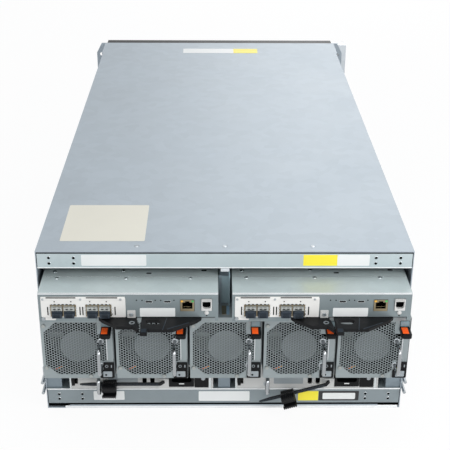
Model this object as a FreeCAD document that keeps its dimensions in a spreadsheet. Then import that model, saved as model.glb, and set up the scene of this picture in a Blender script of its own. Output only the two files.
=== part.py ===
"""Rack disk shelf, five rack units high, with two pull-out drive drawers and hot-swap rear modules.

The origin is the middle of the underside. +X is to the right seen from behind, +Y points to the drawer
fronts and +Z is up. Every length is in millimetres.
"""
import FreeCAD, Part
import math
import os

import Sketcher

VECTOR = FreeCAD.Vector

SIZES = {
    # chassis
    "body_width": 444.5, "body_height": 222.3, "body_depth": 892.2, "wall": 1.2, "cover_sheet": 1.2,
    "cover_flange": 12.0, "rear_lip_tall": 5.0, "rear_lip_inset": 28.0, "touch_gap": 0.3,
    "beam_sheet": 1.5, "beam_depth": 16.0, "upper_beam_tall": 20.6, "lower_beam_tall": 22.0,
    "lower_beam_lift": 7.7, "screw_radius": 2.9, "cover_screw_inset": 14.0,
    "cover_screw_pitch": 208.0,
    # rear bays
    "bay_depth": 330.0, "shelf_sheet": 1.2, "shelf_setback": 2.0, "slide_gap": 0.3, "board_sheet": 3.0,
    "board_gap": 4.0, "window_half": 25.0, "head_gap": 10.9, "divider_sheet": 0.8,
    "post_width": 14.8, "side_post_width": 18.4,
    "post_depth": 60.0,
    # rack ears
    "ear_sheet": 2.0, "ear_reach": 19.25, "ear_side_long": 70.0, "ear_hole_radius": 3.4,
    "ear_hole_inset": 8.95, "ear_hole_low": 22.25, "ear_hole_high": 200.05,
    "ear_corner_wide": 10.0, "ear_corner_tall": 19.0,
    "panel_deep": 26.0, "panel_overhang": 8.5, "panel_margin": 4.0, "panel_round": 6.0,
    "panel_way_radius": 5.5,
    # rail pins on the sides
    "pin_radius": 2.0, "pin_long": 46.0, "pin_stand": 2.4, "pin_low": 29.0, "pin_pitch": 15.0,
    "pin_overhang": 9.0, "bracket_sheet": 3.0, "bracket_reach": 5.5, "bracket_margin": 6.0,
    # drawers
    "drawer_side_gap": 7.2, "drawer_rise": 0.6, "drawer_sheet": 1.2, "drive_rows": 3, "drive_columns": 14,
    "drive_gap": 2.4, "drive_row_gap": 8.0, "drive_top_gap": 2.6, "drawer_back_gap": 18.0,
    "rail_sheet": 2.6, "rail_tall": 34.0, "rail_lift": 30.0, "rail_gap": 0.35,
    "bezel_deep": 30.0, "bezel_sheet": 3.0, "bezel_side_gap": 0.6, "bezel_gap": 0.8,
    "grip_wide": 16.0, "grip_reach": 54.0, "grip_bar": 9.0, "grip_tall": 78.0,
    "latch_wide": 18.0, "latch_tall": 26.0, "latch_stand": 4.0, "latch_travel": 6.0, "latch_gap": 0.3,
    "bezel_rib": 4.0, "bezel_vent": 12.0, "bezel_vent_tall": 52.0,
    # input and output canisters
    "io_side_gap": 5.5, "io_centre_gap": 16.0, "io_reach": 40.0, "io_tall": 36.9, "io_sheet": 1.2,
    "io_apron": 1.0, "lever_bay_tall": 5.2, "lever_bay_deep": 38.0, "lever_sheet": 4.4,
    "lever_bay_left": 66.0, "lever_bay_right": 4.0, "lever_pin_radius": 3.0, "pin_fit": 0.06,
    "lever_pin_inset": 4.5, "short_pin_along": 11.0, "long_pin_along": 24.0, "lever_round": 8.5,
    "lever_short": 36.0, "lever_long": 61.0, "lever_short_front": 24.5, "lever_long_front": 30.5,
    "lever_back": 18.0, "lever_heel": 5.5, "lever_short_slope": 14.0, "lever_long_slope": 24.0,
    "finger_wide": 17.0, "finger_tall": 9.6, "finger_along": 47.0, "finger_front": 11.0,
    "lever_tab_long": 8.0, "lever_tab_wide": 8.0,
    "port_plate_left": 2.0, "port_plate_wide": 97.5, "port_plate_tall": 27.0, "port_plate_drop": 4.5,
    "port_plate_sheet": 1.0, "cage_left": 13.6, "cage_pitch": 40.8, "cage_wide": 30.0, "cage_tall": 9.0,
    "cage_drop": 14.5, "cage_deep": 60.0, "cage_wall": 1.0, "plug_tall": 7.2,
    "plug_reach": 7.0, "plug_in": 30.0, "cage_stand": 0.6,
    "jack_left": 163.5, "jack_wide": 16.6, "jack_tall": 15.2, "jack_drop": 8.6, "jack_deep": 22.0,
    "jack_mouth_wide": 12.0, "jack_mouth_tall": 8.4,
    "serial_left": 187.6, "serial_wide": 12.8, "serial_tall": 15.6, "serial_drop": 7.4,
    "serial_mouth": 9.6, "usb_left": 123.5, "usb_pitch": 21.3, "usb_wide": 8.2, "usb_tall": 3.0,
    "usb_drop": 9.6, "card_sheet": 1.6,
    # fan modules
    "fan_count": 5, "fan_left_gap": 3.5, "fan_right_gap": 1.2, "fan_gap": 2.6, "fan_reach": 30.0,
    "fan_deep": 178.0, "fan_sheet": 1.2, "mesh_pitch": 12.6, "mesh_hole": 10.6, "mesh_margin": 7.5,
    "mesh_corner": 17.0, "fan_latch_wide": 12.0, "fan_latch_reach": 19.0, "fan_latch_thick": 5.0,
    "fan_latch_drop": 13.0, "fan_leaf": 2.0, "fan_latch_inset": 1.6, "fan_latch_travel": 3.0,
    "fan_latch_pad": 0.8, "fan_latch_round": 3.0, "wire_radius": 2.3, "wire_bend": 5.5,
    "fan_wire_inset": 15.3, "fan_wire_top": 32.5, "fan_wire_span": 34.0, "fan_wire_reach": 24.0,
    "keeper_wide": 12.5, "keeper_tall": 21.0, "keeper_sheet": 1.4, "keeper_rise": 1.5,
    "rotor_gap": 4.0, "rotor_deep": 24.0, "hub_radius": 19.5, "blade_tip": 37.5, "blade_count": 5,
    "blade_sheet": 1.6, "duct_radius": 39.2, "spoke_wide": 6.0, "motor_radius": 16.0, "motor_gap": 0.5,
    "duct_sheet": 3.0, "shaft_radius": 3.0, "shaft_fit": 0.06,
    # power supplies
    "power_centre_gap": 13.8, "power_side_gap": 28.6, "power_tall": 33.9, "power_deep": 300.0,
    "power_sheet": 1.2, "power_wire_along": 38.9, "power_wire_top": 7.0, "power_wire_span": 20.3,
    "power_wire_reach": 24.0, "inlet_left": 125.8, "inlet_wide": 27.0, "inlet_tall": 19.5,
    "inlet_deep": 16.0, "inlet_wall": 2.4, "inlet_drop": 6.0, "window_left": 90.4, "window_pitch": 9.8,
    "window_wide": 5.6, "window_tall": 14.6, "window_drop": 13.1,
    "power_latch_left": 3.2, "power_latch_wide": 3.6, "power_latch_tall": 20.0, "power_latch_reach": 5.0,
    "power_latch_deep": 12.0, "power_latch_travel": 3.0, "power_latch_gap": 0.4,
    "tie_left": 110.4, "tie_wide": 13.0, "tie_tall": 14.0, "tie_stand": 3.0,
    "strap_rise": 8.0, "strap_droop": 17.0, "strap_wide": 4.5, "strap_sheet": 1.6, "strap_stand": 4.0,
    "tip_long": 14.0, "tip_taper": 1.4, "left_strap_long": 103.0, "right_strap_long": 90.0,
    "clamp_outer": 9.2, "clamp_inner": 6.6, "clamp_wide": 16.5, "clamp_gap": 0.4, "clamp_mouth": 5.0, "clamp_drop": 2.0,
    "left_clamp_along": 66.0, "right_clamp_along": 53.0, "clamp_wall": 2.0,
}


WIRE_SIDES = 6


class Size:
    """A length kept as an expression on the sheet together with its present number."""

    def __init__(self, text, number):
        self.text, self.number = text, float(number)

    def joined(self, sign, other, number):
        return Size(f"({self.text} {sign} {other.text})", number)

    def __add__(self, other):
        other = size(other)
        return self.joined("+", other, self.number + other.number)

    def __sub__(self, other):
        other = size(other)
        return self.joined("-", other, self.number - other.number)

    def __mul__(self, other):
        other = size(other)
        return self.joined("*", other, self.number * other.number)

    def __truediv__(self, other):
        other = size(other)
        return self.joined("/", other, self.number / other.number)

    def __radd__(self, other):
        return size(other) + self

    def __rsub__(self, other):
        return size(other) - self

    def __rmul__(self, other):
        return size(other) * self

    def __neg__(self):
        return size(0) - self


def size(value):
    return value if isinstance(value, Size) else Size(repr(float(value)), value)


class Sheet:
    """The driving dimensions: each cell is reached by its alias."""

    def __init__(self, document, sizes):
        self.cells = document.addObject("Spreadsheet::Sheet", "dims")
        for row, (name, number) in enumerate(sizes.items(), 1):
            self.cells.set(f"A{row}", name)
            self.cells.set(f"B{row}", str(number))
            self.cells.setAlias(f"B{row}", name)
        document.recompute()

    def __getattr__(self, name):
        return Size(f"dims.{name}", self.cells.get(name))


doc = FreeCAD.newDocument("disk_shelf")
dim = Sheet(doc, SIZES)
nodes = {}


# ---------------------------------------------------------------- ways of making a piece

def bind(thing, **sizes):
    """Ties properties to the sheet; a double underscore in a name stands for a full stop."""
    for name, value in sizes.items():
        thing.setExpression(name.replace("__", "."), size(value).text)
    return thing


def block(name, x, y, z):
    """A box between the low and high values on each axis."""
    box = doc.addObject("Part::Box", name)
    bind(box, Length=x[1] - x[0], Width=y[1] - y[0], Height=z[1] - z[0])
    return bind(box, Placement__Base__x=x[0], Placement__Base__y=y[0], Placement__Base__z=z[0])


def rod(name, foot, radius, length, along="z"):
    """A cylinder from its foot along z, or along +y."""
    cylinder = doc.addObject("Part::Cylinder", name)
    if along == "y":
        cylinder.Placement = FreeCAD.Placement(VECTOR(), FreeCAD.Rotation(VECTOR(1, 0, 0), -90))
    bind(cylinder, Radius=radius, Height=length)
    return bind(cylinder, Placement__Base__x=foot[0], Placement__Base__y=foot[1], Placement__Base__z=foot[2])


def group(name, pieces):
    compound = doc.addObject("Part::Compound", name)
    compound.Links = pieces
    return compound


def less(name, base, tools):
    cut = doc.addObject("Part::Cut", name)
    cut.Base, cut.Tool = base, group(f"{name}_tools", tools)
    return cut


def joined(name, pieces):
    fusion = doc.addObject("Part::MultiFuse", name)
    fusion.Shapes = pieces
    return fusion


def moved(name, source, x=0, y=0, z=0):
    """A copy of a piece, shifted."""
    copy = group(name, [source])
    return bind(copy, Placement__Base__x=x, Placement__Base__y=y, Placement__Base__z=z)


def drooping(name, source):
    """A piece turned about its strap's root, so that its far end hangs lower."""
    copy = group(name, [source])
    turn = FreeCAD.Rotation(VECTOR(0, 1, 0), -dim.strap_droop.number)
    copy.Placement = FreeCAD.Placement(VECTOR(0, 0, 0), turn, VECTOR(tie_middle.number, 0, strap_low.number))
    return copy


def mirrored(name, source):
    """The piece of the other side."""
    mirror = doc.addObject("Part::Mirroring", name)
    mirror.Source, mirror.Normal = source, VECTOR(1, 0, 0)
    return mirror


def node(label, *pieces):
    """One sub-part of the assembly, under its own label."""
    made = group(f"node_{label}", list(pieces))
    made.Label = label
    nodes[label] = made
    return made


def new_body(name):
    body = doc.addObject("PartDesign::Body", name)
    doc.recompute()
    return body


def origin_feature(body, role):
    return next(feature for feature in body.Origin.OriginFeatures if feature.Role == role)


def sketch_on(body, name, role, level):
    """A sketch on one of the body's own planes, lifted along the plane's normal."""
    sketch = body.newObject("Sketcher::SketchObject", name)
    sketch.AttachmentSupport = (origin_feature(body, role), [""])
    sketch.MapMode = "FlatFace"
    return bind(sketch, AttachmentOffset__Base__z=level)


def pinned(sketch, geometry, point, x, y):
    """Holds a point of the sketch at two driving dimensions."""
    for kind, value in (("DistanceX", x), ("DistanceY", y)):
        value = size(value)
        index = sketch.addConstraint(Sketcher.Constraint(kind, -1, 1, geometry, point, value.number))
        sketch.setExpression(f"Constraints[{index}]", value.text)


def polygon(sketch, points):
    points = [(size(x), size(y)) for x, y in points]
    first = sketch.GeometryCount
    for (x, y), (next_x, next_y) in zip(points, points[1:] + points[:1]):
        ends = VECTOR(x.number, y.number), VECTOR(next_x.number, next_y.number)
        sketch.addGeometry(Part.LineSegment(*ends))
    for index, (x, y) in enumerate(points):
        before = first + (index - 1) % len(points)
        sketch.addConstraint(Sketcher.Constraint("Coincident", before, 2, first + index, 1))
        pinned(sketch, first + index, 1, x, y)


def rectangle(sketch, x, y):
    polygon(sketch, [(x[0], y[0]), (x[1], y[0]), (x[1], y[1]), (x[0], y[1])])


def circle(sketch, x, y, radius):
    x, y, radius = size(x), size(y), size(radius)
    index = sketch.addGeometry(Part.Circle(VECTOR(x.number, y.number), VECTOR(0, 0, 1), radius.number))
    pinned(sketch, index, 3, x, y)
    rule = sketch.addConstraint(Sketcher.Constraint("Radius", index, radius.number))
    sketch.setExpression(f"Constraints[{rule}]", radius.text)


def feature(body, kind, name, sketch, length, back=False):
    """A pad or pocket of a sketch. Both go along the sketch's normal, unless back turns them round."""
    made = body.newObject(f"PartDesign::{kind}", name)
    made.Profile = sketch
    bind(made, Length=length)
    made.Reversed = back if kind == "Pad" else not back
    return made


def solid_of(name, role, level, length, draw):
    """A body with one pad, whose sketch is drawn by draw."""
    body = new_body(name)
    profile = sketch_on(body, f"{name}_profile", role, level)
    draw(profile)
    feature(body, "Pad", f"{name}_pad", profile, length)
    return body


def add(body, name, role, level, length, draw, kind="Pad", back=False):
    profile = sketch_on(body, f"{name}_sketch", role, level)
    draw(profile)
    return feature(body, kind, name, profile, length, back)


def remove(body, name, role, level, length, draw, back=False):
    return add(body, name, role, level, length, draw, "Pocket", back)


def rounded(body, name, radius, chosen):
    """Rounds the last feature's straight edges that chosen picks by their middle and direction."""
    doc.recompute()
    base = body.Tip
    picked = []
    for index, edge in enumerate(base.Shape.Edges, 1):
        if isinstance(edge.Curve, Part.Line):
            middle = edge.valueAt((edge.FirstParameter + edge.LastParameter) / 2)
            if chosen(middle, edge.Curve.Direction):
                picked.append(f"Edge{index}")
    fillet = body.newObject("PartDesign::Fillet", name)
    fillet.Base = (base, picked)
    return bind(fillet, Radius=radius)


def upright(direction):
    return abs(direction.z) > 0.99


# ---------------------------------------------------------------- levels and widths shared by the pieces

half_width = dim.body_width / 2
inner_half = half_width - dim.wall
rear = -dim.body_depth / 2
front = dim.body_depth / 2
wall_top = dim.body_height - dim.cover_sheet
upper_beam_top = wall_top - dim.touch_gap
upper_beam_low = upper_beam_top - dim.upper_beam_tall
power_floor = dim.lower_beam_lift + dim.lower_beam_tall
power_low = power_floor + dim.slide_gap
power_top = power_low + dim.power_tall
fan_floor = power_top + dim.slide_gap + dim.shelf_sheet
fan_low = fan_floor + dim.slide_gap
io_top = upper_beam_low - dim.head_gap
io_low = io_top - dim.io_tall
io_floor = io_low - dim.slide_gap
fan_top = io_floor - dim.shelf_sheet - dim.slide_gap
fan_tall = fan_top - fan_low
shelf_rear = rear + dim.shelf_setback
board_rear = rear + dim.bay_depth
drawer_back = board_rear + dim.board_sheet + dim.drawer_back_gap
io_wide = inner_half - dim.io_side_gap - dim.io_centre_gap / 2
fan_wide = (inner_half * 2 - dim.fan_left_gap - dim.fan_right_gap - dim.fan_gap * (dim.fan_count - 1)) \
    / dim.fan_count
fan_pitch = fan_wide + dim.fan_gap
power_wide = inner_half - dim.power_centre_gap - dim.power_side_gap


# ---------------------------------------------------------------- chassis

def chassis_tray():
    """The pan and side walls of one folded sheet, with top flanges for the cover and a rear lip."""
    body = new_body("chassis_tray")
    level, sheet = wall_top, dim.wall
    profile = sketch_on(body, "tray_profile", "XZ_Plane", -front)
    polygon(profile, [(-half_width, 0), (half_width, 0), (half_width, level), (half_width - sheet, level),
                      (half_width - sheet, sheet), (sheet - half_width, sheet),
                      (sheet - half_width, level), (-half_width, level)])
    feature(body, "Pad", "tray_fold", profile, dim.body_depth)
    flange_long = dim.body_depth - dim.beam_depth - dim.touch_gap
    for side, name in ((-1, "left"), (1, "right")):
        add(body, f"cover_flange_{name}", "XZ_Plane", -front, flange_long,
            lambda sketch: rectangle(sketch, (inner_half * side, (inner_half - dim.cover_flange) * side),
                                     (level - sheet, level)))
    lip = half_width - dim.rear_lip_inset
    add(body, "rear_lip", "XZ_Plane", -rear - dim.wall, dim.wall,
        lambda sketch: rectangle(sketch, (-lip, lip), (0, dim.rear_lip_tall)))
    return body


def cover_screw_points():
    """Three flush screws along the rear edge."""
    return [(dim.cover_screw_pitch / 2 * step, rear + dim.cover_screw_inset) for step in (-1, 0, 1)]


def top_cover():
    body = solid_of("top_cover", "XY_Plane", wall_top, dim.cover_sheet,
                    lambda sketch: rectangle(sketch, (-half_width, half_width), (rear, front)))

    def holes(sketch):
        for x, y in cover_screw_points():
            circle(sketch, x, y, dim.screw_radius)

    remove(body, "cover_screw_holes", "XY_Plane", wall_top, dim.cover_sheet, holes)
    return body


def cover_screws():
    """Flat screw heads, flush in the cover."""
    screws = []
    for index, (x, y) in enumerate(cover_screw_points(), 1):
        head = rod(f"cover_screw_head_{index}", (x, y, wall_top), dim.screw_radius, dim.cover_sheet)
        screws.append(head)
    return screws


def rear_beam(name, low, tall):
    """A folded channel across the back, open towards the inside."""
    high, sheet = low + tall, dim.beam_sheet
    deep = rear + dim.beam_depth
    return solid_of(name, "YZ_Plane", -inner_half, inner_half * 2, lambda sketch: polygon(sketch, [
        (rear, low), (rear, high), (deep, high), (deep, high - sheet), (rear + sheet, high - sheet),
        (rear + sheet, low + sheet), (deep, low + sheet), (deep, low)]))


def shelf(name, low, start):
    """A full-width shelf whose rear edge is turned down."""
    return block(name, (-inner_half, inner_half), (start, board_rear), (low, low + dim.shelf_sheet))


def fan_divider(index):
    """The guide wall between two fan modules."""
    middle = -inner_half + dim.fan_left_gap + fan_pitch * index - dim.fan_gap / 2
    half = dim.divider_sheet / 2
    return block(f"fan_divider_{index}", (middle - half, middle + half), (shelf_rear, board_rear),
                 (fan_floor, io_floor - dim.shelf_sheet))


def drawer_rail(name, low, side):
    """The outer rail of a drawer slide: a channel on the side wall, open towards the drawer."""
    outer = inner_half
    lip = inner_half - dim.rail_sheet
    low, high = low + dim.rail_lift, low + dim.rail_lift + dim.rail_tall
    flange = dim.wall
    body = solid_of(name, "XZ_Plane", -front + dim.touch_gap, front - drawer_back, lambda sketch: polygon(
        sketch, [(side * outer, low), (side * outer, high), (side * lip, high), (side * lip, high - flange),
                 (side * (outer - flange), high - flange), (side * (outer - flange), low + flange),
                 (side * lip, low + flange), (side * lip, low)]))
    return body


def inner_frame():
    """Shelves, guide walls and posts of the rear bays, and the outer rails of the drawer slides."""
    pieces = [shelf("power_shelf", power_floor - dim.shelf_sheet, rear + dim.beam_depth + dim.touch_gap),
              shelf("fan_shelf", fan_floor - dim.shelf_sheet, shelf_rear),
              shelf("io_shelf", io_floor - dim.shelf_sheet, shelf_rear)]
    pieces += [fan_divider(index) for index in range(1, int(dim.fan_count.number))]
    post_y = (shelf_rear, shelf_rear + dim.post_depth)
    post_z = (power_floor, fan_floor - dim.shelf_sheet)
    half_post = dim.post_width / 2
    side_in = inner_half - dim.side_post_width
    pieces.append(block("centre_post", (-half_post, half_post), post_y, post_z))
    pieces.append(block("left_post", (-inner_half, -side_in), post_y, post_z))
    pieces.append(block("right_post", (side_in, inner_half), post_y, post_z))
    half_rail = dim.io_centre_gap / 2 - 1.5
    pieces.append(block("io_centre_rail", (-half_rail, half_rail), (shelf_rear, board_rear), (io_floor, io_top)))
    guide = dim.io_side_gap - 1.0
    pieces.append(block("io_left_guide", (-inner_half, guide - inner_half), (shelf_rear, board_rear),
                        (io_floor, io_floor + dim.io_tall / 3)))
    pieces.append(block("io_right_guide", (inner_half - guide, inner_half), (shelf_rear, board_rear),
                        (io_floor, io_floor + dim.io_tall / 3)))
    for level, low in (("lower", lower_drawer_low), ("upper", upper_drawer_low)):
        pieces.append(drawer_rail(f"{level}_rail_left", low, -1))
        pieces.append(drawer_rail(f"{level}_rail_right", low, 1))
    return pieces


def midplane_board():
    """The connector board between the drawers and the rear modules, with an air window for each fan."""
    reach, half = inner_half - dim.touch_gap, dim.window_half
    body = solid_of("midplane_board", "XZ_Plane", -board_rear - dim.board_sheet - dim.touch_gap,
                    dim.board_sheet, lambda sketch: rectangle(
                        sketch, (-reach, reach), (dim.wall, wall_top - dim.wall - dim.touch_gap)))

    def windows(sketch):
        for index in range(int(dim.fan_count.number)):
            x, z = fan_middle(index), fan_low + fan_tall / 2
            rectangle(sketch, (x - half, x + half), (z - half, z + half))

    remove(body, "air_windows", "XZ_Plane", -board_rear - dim.board_sheet - dim.touch_gap,
           dim.board_sheet, windows)
    return body


def rack_ear():
    """The right ear: a folded bracket on the side wall with holes for the rack screws."""
    edge = half_width + dim.ear_reach
    high = dim.body_height
    body = solid_of("ear_face", "XZ_Plane", -front, dim.ear_sheet, lambda sketch: polygon(sketch, [
        (half_width, 0), (edge, 0), (edge, high - dim.ear_corner_tall), (edge - dim.ear_corner_wide, high),
        (half_width, high)]))
    add(body, "ear_side", "XY_Plane", 0, high, lambda sketch: rectangle(
        sketch, (half_width, half_width + dim.ear_sheet), (front - dim.ear_side_long, front)))

    def holes(sketch):
        for level in (dim.ear_hole_low, dim.ear_hole_high):
            circle(sketch, edge - dim.ear_hole_inset, level, dim.ear_hole_radius)

    remove(body, "ear_holes", "XZ_Plane", -front, dim.ear_sheet, holes)
    return body


def operator_panel():
    """The moulded cap with the status lights on the front of the right ear."""
    low, high = half_width + dim.touch_gap, half_width + dim.ear_reach + dim.panel_overhang
    body = solid_of("operator_panel", "XY_Plane", dim.panel_margin, dim.body_height - dim.panel_margin * 2,
                    lambda sketch: rectangle(sketch, (low, high), (front, front + dim.panel_deep)))
    remove(body, "panel_screw_ways", "XZ_Plane", -front - dim.panel_deep, dim.panel_deep, lambda sketch: [
        circle(sketch, half_width + dim.ear_reach - dim.ear_hole_inset, level, dim.panel_way_radius)
        for level in (dim.ear_hole_low, dim.ear_hole_high)])
    edge = front.number + dim.panel_deep.number
    rounded(body, "panel_edges", dim.panel_round, lambda at, way: upright(way) and abs(at.y - edge) < 0.01)
    return body


def rail_bracket():
    """A tab on the side wall with two pins for the rack rail."""
    tab_rear = rear + dim.beam_depth
    high = dim.pin_low + dim.pin_pitch
    tab = block("bracket_tab", (half_width, half_width + dim.bracket_reach),
                (tab_rear, tab_rear + dim.bracket_sheet),
                (dim.pin_low - dim.bracket_margin, high + dim.bracket_margin))
    x, start = half_width + dim.pin_stand, rear - dim.pin_overhang
    pins = [rod(f"rail_pin_{index}", (x, start, level), dim.pin_radius, dim.pin_long, "y")
            for index, level in enumerate((dim.pin_low, high), 1)]
    return joined("rail_bracket", [tab] + pins)


# ---------------------------------------------------------------- drawers

drawer_half = inner_half - dim.drawer_side_gap
drawer_bay = wall_top - dim.wall * 2 - dim.drawer_rise * 3
drawer_tall = drawer_bay / 2
lower_drawer_low = dim.wall + dim.drawer_rise
upper_drawer_low = lower_drawer_low + drawer_tall + dim.drawer_rise
drawer_front = front + dim.bezel_gap


def drawer_tray():
    """The lower drawer's tray: floor, sides, back and the two bars between the drive rows."""
    x = (-drawer_half, drawer_half)
    body = solid_of("drawer_tray", "XY_Plane", lower_drawer_low, drawer_tall,
                    lambda sketch: rectangle(sketch, x, (drawer_back, drawer_front)))
    sheet = dim.drawer_sheet

    def wells(sketch):
        for row in range(int(dim.drive_rows.number)):
            low = drawer_back + sheet + drive_row_pitch * row
            rectangle(sketch, (sheet - drawer_half, drawer_half - sheet), (low, low + drive_row_pitch - sheet))

    remove(body, "drive_wells", "XY_Plane", lower_drawer_low + sheet, drawer_tall, wells)
    return body


drive_row_pitch = (drawer_front - drawer_back - dim.drawer_sheet) / dim.drive_rows
drive_pitch = (drawer_half * 2 - dim.drawer_sheet * 2 - dim.drive_gap) / dim.drive_columns
drive_wide = drive_pitch - dim.drive_gap
drive_long = drive_row_pitch - dim.drawer_sheet - dim.drive_row_gap
drive_tall = drawer_tall - dim.drawer_sheet - dim.drive_top_gap


def drives():
    """Three rows of drives on edge, each on the tray's floor."""
    first = block("drive", (dim.drawer_sheet + dim.drive_gap - drawer_half,
                            dim.drawer_sheet + dim.drive_gap - drawer_half + drive_wide),
                  (drawer_back + dim.drawer_sheet + dim.drive_row_gap / 2,
                   drawer_back + dim.drawer_sheet + dim.drive_row_gap / 2 + drive_long),
                  (lower_drawer_low + dim.drawer_sheet, lower_drawer_low + dim.drawer_sheet + drive_tall))
    return [moved(f"drive_{row}_{column}", first, x=drive_pitch * column, y=drive_row_pitch * row)
            for row in range(int(dim.drive_rows.number)) for column in range(int(dim.drive_columns.number))]


def drawer_slides():
    """The middle members of the drawer's two slides."""
    pieces = []
    for side, name in ((-1, "left"), (1, "right")):
        outer = inner_half - dim.wall - dim.rail_gap
        inner = drawer_half + dim.rail_gap
        low = lower_drawer_low + dim.rail_lift + dim.wall + dim.rail_gap
        high = lower_drawer_low + dim.rail_lift + dim.rail_tall - dim.wall - dim.rail_gap
        x = (inner, outer) if side > 0 else (-outer, -inner)
        pieces.append(block(f"middle_rail_{name}", x, (drawer_back, front - dim.touch_gap), (low, high)))
    return pieces


def latch_pocket(side):
    """Where a drawer latch slides: the low and high x of its pocket in the bezel."""
    middle = (half_width - dim.grip_wide * 3) * side
    half = dim.latch_wide / 2 + dim.latch_gap
    if side > 0:
        return middle - half - dim.latch_travel, middle + half
    return middle - half, middle + half + dim.latch_travel


def drawer_bezel():
    """The lower drawer's moulded front, with two pull grips, latch pockets and a field of vents."""
    reach = half_width - dim.bezel_side_gap
    low, high = lower_drawer_low, lower_drawer_low + drawer_tall
    face = drawer_front + dim.bezel_deep
    body = solid_of("drawer_bezel", "XZ_Plane", -face, dim.bezel_deep,
                    lambda sketch: rectangle(sketch, (-reach, reach), (low, high)))
    back = dim.bezel_sheet
    remove(body, "bezel_hollow", "XZ_Plane", -drawer_front, dim.bezel_deep - back, lambda sketch: rectangle(
        sketch, (back - reach, reach - back), (low + back, high - back)), back=True)
    middle = low + drawer_tall / 2
    vent_half = dim.bezel_vent_tall / 2
    pitch = dim.bezel_vent + dim.bezel_rib

    def vents(sketch):
        count = int((reach.number - 80) * 2 / pitch.number)
        for index in range(count):
            x = pitch * (index - (count - 1) / 2)
            rectangle(sketch, (x - dim.bezel_vent / 2, x + dim.bezel_vent / 2),
                      (middle - vent_half, middle + vent_half))

    remove(body, "bezel_vents", "XZ_Plane", -face, back, vents)

    def pockets(sketch):
        for side in (-1, 1):
            rectangle(sketch, latch_pocket(side), (middle - dim.latch_tall / 2 - dim.latch_gap,
                                                   middle + dim.latch_tall / 2 + dim.latch_gap))

    remove(body, "latch_pockets", "XZ_Plane", -face, back, pockets)
    grip_front = front + dim.grip_reach
    for side, name in ((-1, "left"), (1, "right")):
        outer = reach - dim.grip_wide / 2
        x = (side * (outer - dim.grip_wide), side * outer)
        span = dim.grip_tall / 2
        inner = x[0] if side > 0 else x[1]
        add(body, f"grip_{name}", "YZ_Plane", inner, dim.grip_wide, lambda sketch: polygon(
            sketch, [(face, middle - span), (grip_front, middle - span + dim.grip_bar),
                     (grip_front, middle + span - dim.grip_bar), (face, middle + span),
                     (face, middle + span - dim.grip_bar),
                     (grip_front - dim.grip_bar, middle + span - dim.grip_bar * 2),
                     (grip_front - dim.grip_bar, middle - span + dim.grip_bar * 2),
                     (face, middle - span + dim.grip_bar)]))
    return body


def drawer_latch(side):
    """A sliding release latch: a thumb pad in front of the bezel and a slider behind it."""
    low, high = latch_pocket(side)
    low = low + dim.latch_gap if side < 0 else high - dim.latch_gap - dim.latch_wide
    middle = lower_drawer_low + drawer_tall / 2
    face = drawer_front + dim.bezel_deep
    z = (middle - dim.latch_tall / 2, middle + dim.latch_tall / 2)
    name = "left" if side < 0 else "right"
    body = new_body(f"latch_body_{name}")
    profile = sketch_on(body, f"latch_profile_{name}", "XZ_Plane", -face - dim.latch_stand)
    rectangle(profile, (low, low + dim.latch_wide), z)
    feature(body, "Pad", f"latch_pad_{name}", profile, dim.latch_stand + dim.bezel_sheet)
    margin = dim.bezel_rib
    add(body, f"latch_slider_{name}", "XZ_Plane", -face + dim.bezel_sheet + dim.latch_gap, dim.bezel_sheet,
        lambda sketch: rectangle(sketch, (low - margin, low + dim.latch_wide + margin),
                                 (z[0] - margin, z[1] + margin)))
    add(body, f"latch_neck_{name}", "XZ_Plane", -face + dim.bezel_sheet, dim.latch_gap,
        lambda sketch: rectangle(sketch, (low, low + dim.latch_wide), z))
    return body


# ---------------------------------------------------------------- input and output canisters

io_left = -inner_half + dim.io_side_gap
io_face = rear - dim.io_reach
io_front = board_rear - dim.board_gap
lever_roof = io_low + dim.lever_bay_tall
bay_left = io_left + dim.lever_bay_left
bay_right = io_left + io_wide - dim.lever_bay_right
lever_pin_y = io_face + dim.lever_pin_inset
short_pin_x = bay_left + dim.short_pin_along
long_pin_x = bay_right - dim.long_pin_along
port_plate_left = io_left + dim.port_plate_left
port_plate_top = io_top - dim.port_plate_drop


def face_window(left, wide, drop, tall):
    """The x and z ranges of a window in the canister's face, measured from its top left corner."""
    return (io_left + left, io_left + left + wide), (io_top - drop - tall, io_top - drop)


def cage_window(index):
    return face_window(dim.cage_left + dim.cage_pitch * index, dim.cage_wide, dim.cage_drop,
                       dim.cage_tall + dim.plug_tall)


def jack_window():
    return face_window(dim.jack_left, dim.jack_wide, dim.jack_drop, dim.jack_tall)


def serial_window():
    return face_window(dim.serial_left, dim.serial_wide, dim.serial_drop, dim.serial_tall)


def usb_window(index):
    return face_window(dim.usb_left + dim.usb_pitch * index, dim.usb_wide, dim.usb_drop, dim.usb_tall)


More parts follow.
